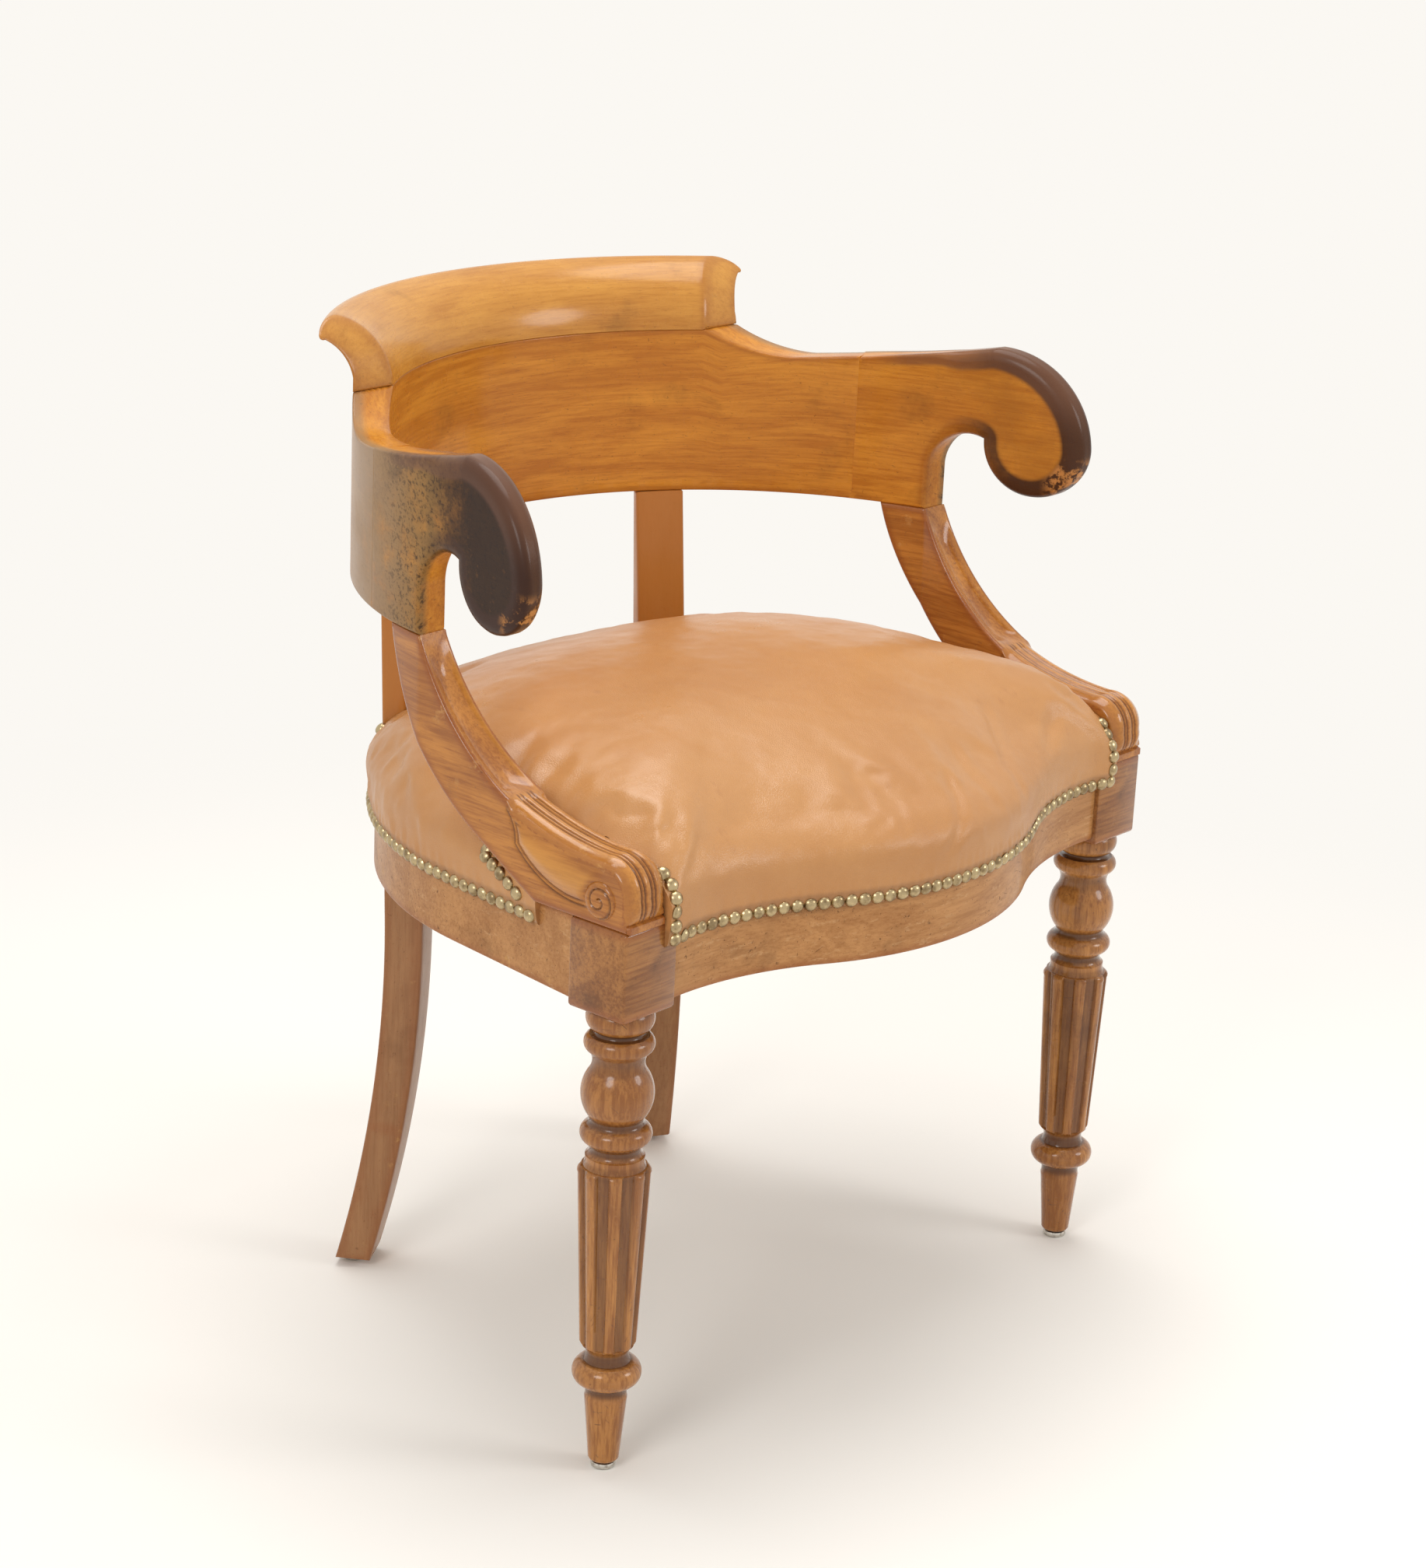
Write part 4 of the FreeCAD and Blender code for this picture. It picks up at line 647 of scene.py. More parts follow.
def worn_outside(finish, board, edge, colour, rough):
    """Handling has turned the band's outer face a dull tan, most of all near the arms."""
    along, side = finish.axis(board, 0), finish.axis(board, 2)
    ends = along.math("ABSOLUTE").ramp(0.14, BAND_END * MM) * 0.6 + 0.3
    cloud = finish.noise(board, 26.0, 6.0, 0.68)
    fine = finish.noise(board, 190.0, 4.0, 0.65)
    worn = (side.ramp(0.002, 0.010) * ends * (cloud.ramp(0.2, 0.5) * 0.5 + 0.5)).clamp()
    colour = finish.mix(worn, colour, WORN_TAN)
    lines = fine.ramp(0.6, 0.7) * worn * 0.35
    return finish.mix(lines.clamp(), colour, (0.055, 0.026, 0.012, 1)), rough + worn * 0.14


band_wood = wood("band_varnish", HONEY, AMBER, 0.75, 0.55, 0.3, 0.15, 0.22, worn_outside,
                 coat=0.25, shine=0.12)
fit(board_piece("curved_back_band", band_outline, BAND_THICK / 2, 1.6, in_band, 6, 6,
                joint=lambda u, v: abs(u) > BAND_END - 0.5),
    "varnished_wood", band_wood, "back_band")


# Scrolled arms. Each carries the band forward, flares outward and ends in a rounded scroll; hands have worn
# the outer faces pale near the joint and left the scrolls almost black.

OUT_FLARE, IN_FLARE = 11.8, 14.5
ARM_JOINT = BAND_MID * math.cos(math.radians(ARM_ANGLE))
ARM_END = ARM_JOINT + 1.7
HOOK, SUPPORT_HEAD = 60.0, 97.0
SCROLL_REACH, SCROLL_HEIGHT, SCROLL_RADIUS = -25.5, 654.0, 42.0


def arm_ease(u, v):
    """The scroll's rim is well rounded; towards the band the edges are as crisp as the band's."""
    return 1.6 + 7.4 * smooth(ARM_JOINT - 14, 20, u) * (0.35 + 0.65 * smooth(HOOK, 40, u))


def arm_joint(u, v):
    """Where the arm meets the band and the support."""
    return u > ARM_END - 0.5 or (v < BAND_BOTTOM + 0.5 and u < SUPPORT_HEAD)


def arm_outline():
    front, back = SCROLL_REACH - SCROLL_RADIUS, SCROLL_REACH + SCROLL_RADIUS
    line = Outline(ARM_END, band_top(ARM_END), 3)
    for reach in np.arange(ARM_END - 3, 11.5, -3):
        line.line(reach, band_top(reach))
    line.line(*SCROLL_TOP).arc((-47, 703), (front, SCROLL_HEIGHT))
    line.arc((SCROLL_REACH, SCROLL_HEIGHT - SCROLL_RADIUS), (back, SCROLL_HEIGHT))
    line.arc((back + 0.62 * (HOOK - back), SCROLL_HEIGHT - 2), (HOOK, 626)).line(HOOK, BAND_BOTTOM)
    return line.line(ARM_END, BAND_BOTTOM).line(ARM_END, band_top(ARM_END)).points


def in_arm(sign):
    def place(u, v, w):
        outward = w / (BAND_THICK / 2)
        reach = u + outward * 5.8 * smooth(80, ARM_JOINT, u)
        outer = flared(BAND_RADIUS, OUT_FLARE, reach)
        inner = flared(BAND_RADIUS - BAND_THICK, IN_FLARE, reach)
        x = (outer + inner) / 2 + outward * (outer - inner) / 2
        return sign * x, AXIS_Y + reach, v

    return place


def hand_worn(finish, board, edge, colour, rough):
    """Black patina outside the scroll and on its rim; behind it worn ochre, scratches and a dark band."""
    reach, height, side = (finish.axis(board, which) for which in range(3))
    cloud = finish.noise(board, 26.0, 6.0, 0.68)
    fine = finish.noise(board, 190.0, 4.0, 0.65)
    scratch = finish.noise(finish.turned(board, 0.9, (40, 360, 360)), 1.0, 4.0, 0.7)
    outside = side.ramp(0.002, 0.010)
    forward = reach.ramp(0.118, 0.075)
    aged = (reach.ramp(0.1, -0.01) * (cloud.ramp(0.3, 0.6) * 0.45 + 0.1)).clamp()
    colour = finish.mix(aged, colour, (0.33, 0.12, 0.02, 1))
    worn = (outside * reach.ramp(0.0, 0.05) * (cloud.ramp(0.25, 0.5) * 0.5 + 0.4)).clamp()
    colour = finish.mix(worn, colour, finish.mix(reach.ramp(0.05, 0.12), (0.25, 0.14, 0.045, 1), WORN_TAN))
    slant = height * 0.9 + reach * 0.55 + cloud * 0.03
    band = slant.ramp(0.683, 0.697) * slant.ramp(0.742, 0.712)
    dark = (band * outside * fine.ramp(0.3, 0.55) * forward * 0.75).clamp()
    colour = finish.mix(dark, colour, (0.06, 0.032, 0.02, 1))
    lines = ((scratch.ramp(0.52, 0.62) + fine.ramp(0.54, 0.67)) * outside * (0.2 + cloud * 1.1)).clamp()
    lines = lines * (0.15 + forward * 0.85)
    colour = finish.mix(lines * 0.85, colour, (0.04, 0.019, 0.009, 1))
    black = (cloud * 0.07 + fine * 0.03 + reach * -1.0 + height * 0.12).ramp(0.063, 0.135) * outside * forward
    speckled = (black * (1 - fine.ramp(0.56, 0.7) * cloud.ramp(0.42, 0.6) * 0.6)).clamp()
    colour = finish.mix(speckled * 0.97, colour, (0.020, 0.008, 0.004, 1))
    shaded = edge.ramp(0.16, 0.42)
    front = ((cloud * 0.07 + reach * -1.0).ramp(-0.03, 0.05) * shaded * 0.93).clamp()
    colour = finish.mix(front, colour, (0.045, 0.018, 0.011, 1))
    rim = (shaded * height.ramp(0.66, 0.705) * (1 - black * 0.3) * forward * 0.6).clamp()
    colour = finish.mix(rim, colour, (0.17, 0.078, 0.045, 1))
    bare = cloud.ramp(0.45, 0.52) * shaded * reach.ramp(-0.035, -0.05) * height.ramp(0.652, 0.638)
    colour = finish.mix((bare * fine.ramp(0.6, 0.5) * 0.95).clamp(), colour, (0.52, 0.22, 0.06, 1))
    return colour, rough + worn * 0.14 + black * 0.1


arm_wood = wood("arm_varnish", HONEY, AMBER, 0.75, 0.45, 0.35, 0.15, 0.24, hand_worn, coat=0.15, shine=0.1)
for side, sign in SIDES.items():
    fit(board_piece(f"{side}_scrolled_arm", arm_outline(), BAND_THICK / 2, arm_ease, in_arm(sign), 3, 8,
                    joint=arm_joint),
        "varnished_wood", arm_wood, f"{side}_arm")


# Crest rail. One bent moulding tongued on top of the band: a long cove in front, a rolled lip and a hollow
# back, with its two ends cut to a curve; it takes the most light and shows scratches and small stains.

CREST_TOP, CREST_LIP = 776.5, 333.0


def crest_section():
    """Radius and height of the moulding, as it is cut across."""
    inner = BAND_RADIUS - BAND_THICK
    line = Outline(inner, SEAM, 1.2).arc((inner + 14.5, SEAM + 35), (CREST_LIP - 11, CREST_TOP - 0.2))
    line.arc((CREST_LIP - 2.6, CREST_TOP - 2.6), (CREST_LIP, CREST_TOP - 9.5))
    line.arc((CREST_LIP - 1.0, CREST_TOP - 13), (CREST_LIP - 4.5, CREST_TOP - 14))
    line.arc((BAND_RADIUS + 7, SEAM + 26.5), (BAND_RADIUS, SEAM + 10))
    return line.line(BAND_RADIUS, SEAM).line(inner, SEAM).points


end_line = Outline(CREST_FOOT, SEAM, 1.5).arc((CREST_FOOT + 6.5, SEAM + 27), (247, CREST_TOP + 1)).points
end_reach, end_height = (np.array(column) for column in zip(*end_line))
CREST_HALF = 245.0


def in_crest(u, v, w):
    """w runs along the crest; the end's reach at each height sets how far round it goes."""
    end = float(np.interp(v, end_height, end_reach))
    turn = math.acos(min(1.0, end / u)) * w / CREST_HALF
    return -u * math.sin(turn), AXIS_Y + u * math.cos(turn), v


def crest_piece():
    """The section is the outline and the length the thickness, so the grain is turned to follow it."""
    crest = board_piece("rolled_crest", crest_section(), CREST_HALF, 2.2, in_crest, 3, 120)
    layer = crest.data.attributes["board"].data
    values = np.zeros(len(layer) * 3, np.float32)
    layer.foreach_get("vector", values)
    layer.foreach_set("vector", np.roll(values.reshape(-1, 3), 1, 1).ravel())
    return crest


crest_wood = wood("crest_varnish", (0.60, 0.28, 0.051, 1), (0.455, 0.183, 0.028, 1), 0.6, 0.35, 0.3, 0.2,
                  0.22, dents=0.25)
fit(crest_piece(), "varnished_wood", crest_wood, "crest_rail")


# Carved arm supports. Each S-shaped support is sawn from the solid and carved: a hollow down its front, a
# raised leaf on the side, grooves over the toe and a volute; it stands on the leg's block.

SUPPORT_OUT, SUPPORT_IN = 305.0, 266.0
SUPPORT_HALF = (SUPPORT_OUT - SUPPORT_IN) / 2
TOE, LEAF_TIP, LEAF_TOP = -150.0, -31.0, 494.0
VOLUTE, VOLUTE_RADIUS, VOLUTE_COILS = (-124.5, 443.5), 14.0, 1.9
HEEL, WAIST = -62.0, (-2.0, 459.0)
GROOVES, GROOVE_WIDTH = (-7.0, -3.4, 3.4, 7.0), 0.95


def support_back(line, gap=0.0):
    """Draws on from the base along the support's hollow back to the arm, set back by a gap."""
    line.line(WAIST[0] + gap, WAIST[1])
    return line.arc((WAIST[0] + 63 + gap, WAIST[1] + 55), (SUPPORT_HEAD + gap, BAND_BOTTOM))


def support_outline():
    """Reach and height of the support's side view."""
    line = Outline(HOOK - 1, BAND_BOTTOM, 2.0)
    line.arc((HOOK - 30, BAND_BOTTOM - 47), (LEAF_TIP, LEAF_TOP))
    line.arc((LEAF_TIP - 41, LEAF_TOP - 13.5), (TOE + 28, LEAF_TOP - 20))
    line.arc((TOE + 6, LEAF_TOP - 27), (TOE - 2, SEAT_TOP + 22))
    line.arc((TOE - 1.4, SEAT_TOP + 10), (TOE + 1, SEAT_TOP + 6))
    line.line(TOE - 1.5, SEAT_TOP + 5).line(TOE - 1.5, SEAT_TOP).line(HEEL, SEAT_TOP)
    return support_back(line).line(HOOK - 1, BAND_BOTTOM).points


def support_sides(reach):
    """Outer and inner half widths: the band's own curve at the head, straight and wider at the foot."""
    head = HOOK - 2
    curved = max(reach, head)
    outer = math.sqrt(BAND_RADIUS ** 2 - curved ** 2)
    inner = math.sqrt((BAND_RADIUS - BAND_THICK) ** 2 - curved ** 2)
    if reach >= head:
        return outer, inner
    outer = SUPPORT_OUT + (outer - SUPPORT_OUT) * min(1.0, max(0.0, (reach - LEAF_TIP) / (head - LEAF_TIP)))
    inner = SUPPORT_IN + (inner - SUPPORT_IN) * min(1.0, max(0.0, (reach - HEEL) / (head - HEEL)))
    return outer, inner


def leaf_outline():
    """The leaf on the side of the support, from its tip to the volute."""
    tip = LEAF_TIP - 4, LEAF_TOP - 8
    line = Outline(*tip, 1.6).arc((LEAF_TIP - 41, LEAF_TOP - 20.5), (TOE + 28, LEAF_TOP - 26.5))
    line.line(VOLUTE[0], VOLUTE[1] + 5).line(VOLUTE[0], VOLUTE[1] - 5)
    line.arc((LEAF_TIP - 45, VOLUTE[1] - 2), (LEAF_TIP - 12.5, LEAF_TOP - 30))
    return line.arc((LEAF_TIP - 10.5, LEAF_TOP - 18), tip).points


leaf_ring = np.array(tidy_ring(leaf_outline()))


def leaf_distance(u, v):
    """Distance to the leaf's line, positive inside it."""
    after = np.roll(leaf_ring, -1, 0)
    run = after - leaf_ring
    share = np.clip((((u, v) - leaf_ring) * run).sum(1) / (run ** 2).sum(1), 0, 1)
    away = np.linalg.norm(leaf_ring + run * share[:, None] - (u, v), axis=1).min()
    level = (leaf_ring[:, 1] > v) != (after[:, 1] > v)
    cross = leaf_ring[:, 0] + (v - leaf_ring[:, 1]) * run[:, 0] / np.where(run[:, 1] == 0, 1e-9, run[:, 1])
    inside = (level & (u < cross)).sum() % 2 == 1
    return away if inside else -away


def toe_grooves(w):
    """How deep each place across the toe lies in one of its cuts, from 0 to about 1."""
    return sum(math.exp(-((w - place) / GROOVE_WIDTH) ** 2) for place in GROOVES)


def leaf_relief(u, v):
    """The leaf's swell and the two lines cut round its tip and lower border; above, it runs into the toe."""
    away = leaf_distance(u, v)
    fade = smooth(VOLUTE_RADIUS * 0.8, VOLUTE_RADIUS * 1.3, math.dist((u, v), VOLUTE))
    middle = VOLUTE[1] + 11 + 0.25 * (u - VOLUTE[0])
    under = max(smooth(middle + 5, middle - 5, v), smooth(LEAF_TIP - 20, LEAF_TIP - 12, u))
    step_up = smooth(-0.2, 1.1, away) * under + smooth(-3.0, 7.0, away) * (1 - under)
    swell_up = 1.2 * step_up + 3.4 * smooth(1.5, 15.0, away)
    cuts = 0.9 * math.exp(-((away + 1.1) / 0.9) ** 2) + 0.8 * math.exp(-((away - 3.2) / 0.8) ** 2)
    return swell_up * fade, cuts * fade * under


back_line = support_back(Outline(HEEL, SEAT_TOP, 2)).points
back_reaches, back_heights = (np.array(column) for column in zip(*back_line))


def on_front(u, v):
    """Whether a point of the outline lies on the front line rather than on the hollow back or the base."""
    if v <= SEAT_TOP + 6:
        return False
    back = np.interp(v, back_heights, back_reaches)
    return u < back - 12


def support_carving(u, v, w):
    """Cuts into the front: a long hollow above the leaf, and a grooved roll over the toe."""
    if u > HOOK - 4 or not on_front(u, v):
        return 0.0
    upper = smooth(LEAF_TIP - 2, LEAF_TIP + 14, u) * smooth(HOOK - 3, HOOK - 16, u)
    cove = 4.4 * upper * max(0.0, 1 - (w / (SUPPORT_HALF * 0.8)) ** 2)
    lower = smooth(LEAF_TIP - 2, LEAF_TIP - 10, u) * smooth(SEAT_TOP + 7, SEAT_TOP + 12, v)
    rolls = 4.2 * smooth(0.42, 1.05, abs(w) / SUPPORT_HALF) ** 1.4
    return cove + lower * (1.5 * toe_grooves(w) + rolls)


def in_support(sign):
    """Sets the support's outline in space, with the leaf raised on its outer face."""
    def place(u, v, w):
        outer, inner = support_sides(u)
        share = (w + SUPPORT_HALF) / (2 * SUPPORT_HALF)
        x = inner + (outer - inner) * share
        if abs(w) > SUPPORT_HALF - 0.01:
            swell_up, cuts = leaf_relief(u, v)
            x += swell_up - cuts if w > 0 else cuts
        return sign * x, AXIS_Y + u, v

    return place


def support_grime_and_highlight(u, v, w, depth):
    """Dark lines in the cuts; bright wear and a painted highlight on the leaf, toe and hollow front's edges.
    """
    if abs(w) > SUPPORT_HALF - 0.01:
        swell_up, cuts = leaf_relief(u, v)
        # The leaf's high parts get bright wear and a painted highlight; so do the toe and the hollow front's
        # edges.
        return cuts if cuts > 0.12 else -0.6 * smooth(0.4, 4.4, swell_up)
    if depth and u < LEAF_TIP:
        groove = toe_grooves(w)
        return 0.8 * groove if groove > 0.15 else -0.25
    return -0.45 * smooth(0.55, 0.8, abs(w) / SUPPORT_HALF) if depth else 0.0


def volute_piece(name, sign, rings=26, turns=72):
    """The rolled end of the toe: a low boss with a spiral cut into it."""
    points, board, grime_shade_and_highlight = [], [], []
    for ring in range(rings + 1):
        radius = VOLUTE_RADIUS * ring / rings
        for step in range(turns):
            turn = math.tau * step / turns
            coil = (radius / VOLUTE_RADIUS * VOLUTE_COILS - turn / math.tau) % 1.0
            cut = math.exp(-((min(coil, 1 - coil) * VOLUTE_RADIUS / VOLUTE_COILS) / 0.75) ** 2) * (ring > 2)
            rise = 4.2 * math.sqrt(max(0.0, 1 - (radius / VOLUTE_RADIUS) ** 6)) - 1.3 * cut
            u, v = VOLUTE[0] + radius * math.cos(turn), VOLUTE[1] + radius * math.sin(turn)
            points.append((sign * (SUPPORT_OUT - 1.0 + rise), AXIS_Y + u, v))
            board.append((u, v, rise))
            grime_shade_and_highlight.append(0.85 * cut)
    faces = ring_faces(rings + 1, turns)
    faces.append(tuple(range(rings * turns, (rings + 1) * turns)))
    return build(name, points, faces, board, [8.0] * len(points), grime_shade_and_highlight, 60)


support_wood = wood("support_varnish", (0.54, 0.215, 0.038, 1), (0.31, 0.10, 0.015, 1), 0.7, 0.75, 0.35, 0.55,
                    0.17, coat=0.6)
leaf_marks = [tuple(point) for step in (-2.2, -1.1, 0.0, 1.1, 2.2, 3.2, 4.2)
              for point in leaf_ring + inward(leaf_ring) * step]
for side, sign in SIDES.items():
    support = board_piece(f"{side}_carved_support", support_outline(), SUPPORT_HALF, 2.6, in_support(sign),
                          2.2, 40, support_carving, leaf_marks, support_grime_and_highlight)
    fit(support, "varnished_wood", support_wood, f"{side}_arm_support")
    fit(volute_piece(f"{side}_volute", sign), "varnished_wood", support_wood)


# Loose tongues. Flat slips of bare wood glued into mortises hold crest, band, arms and supports together;
# they lie inside the joints and keep their plain solids.

joint_wood = wood("joint_bare_wood", BARE, (0.5, 0.3, 0.12, 1), 0.4, 0, 0.1, 0, 0.6)
for name in ("crest_tongues", "arm_tongues", "support_tongues"):
    nodes[name].data.materials.clear()
    nodes[name].data.materials.append(joint_wood)


# Webbing. Woven jute straps are strained over the seat frame both ways and tacked to the tops of the rails;
# they are seen only from below.

def object_place(finish):
    return finish.node("ShaderNodeTexCoord", {}, {}, 3)


def woven(name, light, dark, threads):
    """Plain weave: two crossed sets of round threads, a thread's width apart."""
    finish = Finish(name)
    place = object_place(finish)
    across = finish.axis(place, 0).math("MULTIPLY", threads).math("SINE")
    along = finish.axis(place, 1).math("MULTIPLY", threads).math("SINE")
    cross = across * along
    fuzz = finish.noise(place, 240.0, 4.0)
    colour = finish.mix((cross.ramp(-0.8, 0.8) * 0.6 + fuzz * 0.5).clamp(), dark, light)
    finish.set(Base_Color=colour, Roughness=0.9, Normal=finish.bump(cross + fuzz * 0.6, 0.5, 0.0006))
    return finish.material


def strap_piece(name, node):
    """Flat straps with thinned selvedges, one in place of each strap solid."""
    box_low, box_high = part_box(node)
    lengthwise = node == "webbing_lengthwise"
    thick = (box_high.z - box_low.z) / MM
    rows, columns = 40, 9
    points, faces = [], []
    corners = np.array([vert.co for vert in nodes[node].data.vertices]) / MM
    order = np.argsort(corners[:, 0 if lengthwise else 1])
    for third in np.array_split(corners[order], 3):
        low, high = third.min(0), third.max(0)
        base = len(points)
        for level in (0.0, thick):
            for row in range(rows + 1):
                for column in range(columns):
                    share, side = row / rows, column / (columns - 1)
                    flat = 0.35 * thick * (2 * side - 1) ** 8
                    z = low[2] + (level + flat if level == 0 else level - flat)
                    spot = np.array((side, share) if lengthwise else (share, side))
                    points.append((*(low[:2] + (high - low)[:2] * spot), z))
        sheet = (rows + 1) * columns
        for row in range(rows):
            for column in range(columns - 1):
                a = base + row * columns + column
                faces.append((a, a + 1, a + columns + 1, a + columns))
                faces.append((a + sheet, a + columns + sheet, a + columns + 1 + sheet, a + 1 + sheet))
        rim = [row * columns for row in range(rows + 1)]
        rim += [rows * columns + column for column in range(1, columns)]
        rim += [row * columns + columns - 1 for row in range(rows - 1, -1, -1)]
        rim += [column for column in range(columns - 2, 0, -1)]
        for a, b in zip(rim, rim[1:] + rim[:1]):
            faces.append((base + a, base + b, base + b + sheet, base + a + sheet))
    return build(name, points, faces, sharp=50)


jute = woven("jute_webbing", (0.42, 0.31, 0.18, 1), (0.20, 0.14, 0.075, 1), 2400.0)
fit(strap_piece("lengthwise_straps", "webbing_lengthwise"), "webbing", jute, "webbing_lengthwise")
fit(strap_piece("cross_straps", "webbing_across"), "webbing", jute, "webbing_across")


# Backing cloth. One sheet of plain-woven hessian is strained flat over the webbing, tacked to the rails and
# carries the stuffing; it is seen only from below, between the straps.

def cloth_outline():
    """The seat frame's plan, a finger's width inside the rails' faces."""
    inset, radius = 12.0, RAIL_RADIUS - 18
    line = bow_arcs(Outline(-BOW_SPAN, RAIL_FACE + inset, 8), -inset, 1)
    for angle in range(-100, 101, 2):
        turn = math.radians(angle)
        line.line(-radius * math.sin(turn), radius * math.cos(turn))
    return line.line(-BOW_SPAN, RAIL_FACE + inset).points


cloth_corner, far_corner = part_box("seat_hessian")
CLOTH_HALF = 0.5


def in_cloth(u, v, w):
    return u, AXIS_Y + v, cloth_corner.z / MM + CLOTH_HALF + w


hessian = board_piece("hessian_cloth", cloth_outline(), CLOTH_HALF, 0.2, in_cloth, 14)
hessian_weave = woven("hessian_weave", (0.50, 0.38, 0.22, 1), (0.26, 0.18, 0.09, 1), 3600.0)
fit(hessian, "hessian", hessian_weave, "seat_hessian")


# Leather seat. Tan hide is drawn over a high horsehair dome, cut round the supports and posts, turned down
# over the rails and nailed; it creases mostly along its front and is pulled in a little at each nail.

HEM, BROW, CROWN = 404.0, 456.0, 520.0
HIDE, NAIL_PITCH = 2.2, 10.6
CROWN_REACH = 50.0
BLOCK_INNER, BLOCK_OUTER = 252, 293
SKIN_STEP, HOLLOW_SINK, HOLLOW_RINGS = 10.0, 9.0, 24
BASE_LEVEL = HEM - 6
VOXEL, SWELL_CAP, SWELL_SINK, SWELL_FRAMES = 6.0, 6.0, 1.0, 20


def seat_contour(step):
    """The seat's plan: the serpentine front, across the leg blocks, and round the sides and back."""
    front = RAIL_FACE - 4.0
    flare_start = RAIL_RADIUS * math.sin(math.radians(RAIL_FLARE))
    line = bow_arcs(Outline(-BOW_SPAN, RAIL_FACE, step), 0.0, 1)
    line.line(BLOCK_INNER, front).line(BLOCK_OUTER, front)
    for reach in np.arange(LEG_REACH, flare_start, step):
        line.line(flared(RAIL_RADIUS, RAIL_FLARE, reach), reach)
    last = 90 - RAIL_FLARE
    for angle in np.arange(last, -last - 0.1, -1.0):
        turn = math.radians(angle)
        line.line(RAIL_RADIUS * math.sin(turn), RAIL_RADIUS * math.cos(turn))
    for reach in np.arange(flare_start, LEG_REACH, -step):
        line.line(-flared(RAIL_RADIUS, RAIL_FLARE, reach), reach)
    line.line(-BLOCK_OUTER, front).line(-BLOCK_INNER, front).line(-BOW_SPAN, RAIL_FACE)
    return line.points


CREASES = (
    # depth, width, then the points that the crease runs through, in millimetres
    (2.2, 7.0, ((-205, -100, 474), (-228, -128, 464), (-247, -146, 452), (-250, -152, 428))),
    (1.3, 4.5, ((-40, -150, 484), (-59, -184, 469), (-117, -199, 457), (-165, -206, 438))),
    (0.9, 3.6, ((-69, -206, 458), (-100, -210, 450), (-140, -212, 436))),
    (1.3, 4.0, ((-40, -165, 478), (-49, -181, 470), (-65, -203, 459), (-100, -213, 432))),
    (1.1, 4.5, ((25, -160, 481), (8, -190, 466), (-18, -212, 445), (-34, -214, 428))),
    (0.9, 5.0, ((63, -133, 489), (47, -168, 476), (40, -205, 456))),
    (1.1, 5.0, ((140, -110, 486), (124, -138, 480), (95, -174, 468), (84, -205, 448))),
    (1.4, 6.0, ((235, -95, 468), (210, -125, 468), (170, -160, 462), (150, -185, 446))),
    (1.2, 5.0, ((252, -60, 470), (225, -70, 480), (190, -75, 490))),
    (1.2, 5.0, ((-252, -60, 470), (-225, -66, 480), (-195, -76, 489))),
    (1.0, 5.0, ((-250, 20, 476), (-222, 15, 487), (-190, 2, 496))),
    (1.0, 5.0, ((250, 25, 476), (220, 22, 487), (185, 8, 497))),
)
# height and fineness of each size of soft lump
LUMPS = ((1.0, 0.017), (0.65, 0.045), (0.28, 0.11))


def crease_depths(places):
    """How deep the hide lies in its creases at each place; it stands up a little on both sides of them."""
    depths = np.zeros(len(places))
    for deep, width, line in CREASES:
        line = np.array(line, float) + (0, AXIS_Y, 0)
        away = np.full(len(places), 1e3)
        for start, end in zip(line, line[1:]):
            run = end - start
            share = np.clip((places - start) @ run / (run @ run), 0, 1)
            away = np.minimum(away, np.linalg.norm(places - start - share[:, None] * run, axis=1))
        ends = np.minimum(*(np.linalg.norm(places - end, axis=1) for end in (line[0], line[-1])))
        fade = np.clip(ends / (3.5 * width), 0.15, 1)
        lips = np.exp(-((away - 2.1 * width) / (1.1 * width)) ** 2)
        depths += deep * fade * (np.exp(-(away / width) ** 2) - 0.4 * lips)
    return depths


def wall_rings():
    """Outward growth and height of the rings of the dome's wall, from the hem up."""
    wall = [(2.6, HEM), (2.7, HEM + 3)]
    wall += [(2.8 + 4.2 * math.sin(math.pi * 0.62 * k / 10), HEM + 5 + 38 * k / 10) for k in range(1, 11)]
    return wall


def seat_skin(offset, sink, rings):
    """Points and faces of the stuffed dome, drawn in by an offset and, above the rails, by a sink as well."""
    contour = tidy_ring(seat_contour(SKIN_STEP))
    normals = inward(contour)
    count = len(contour)
    centre = np.array((0.0, CROWN_REACH))
    points = []
    wall = wall_rings()
    for grow, height in wall:
        for (x, y), normal in zip(contour, normals):
            inset = offset + sink * smooth(SEAT_TOP - 6, SEAT_TOP + 8, height)
            place = np.array((x, y)) - normal * (grow - inset)
            points.append((place[0], AXIS_Y + place[1], height))
    bulge, brow = wall[-1]
    for ring in range(1, rings + 1):
        share = (ring / rings) ** 1.3 * (1 if ring < rings else 0.999)
        for (x, y), normal in zip(contour, normals):
            edge = np.array((x, y)) - normal * (bulge - offset - sink)
            place = edge + (centre - edge) * share
            lean = abs(edge[0] - centre[0]) / np.linalg.norm(edge - centre)
            drop = (CROWN - BROW) * (1 - share) ** (2.0 + 1.5 * lean ** 2)
            soft = (BROW - brow) * max(0.0, 1 - share / 0.085) ** 2.0
            height = CROWN - drop - soft - (offset + sink) * smooth(0, 0.12, share)
            points.append((place[0], AXIS_Y + place[1], height))
    levels = len(wall) + rings
    faces = ring_faces(levels, count)
    faces.append(tuple(range((levels - 1) * count, levels * count)))
    return points, faces


def places_of(mesh):
    """A mesh's points in millimetres."""
    flat = np.zeros(len(mesh.vertices) * 3, np.float32)
    mesh.vertices.foreach_get("co", flat)
    return flat.reshape(-1, 3).astype(float) / MM


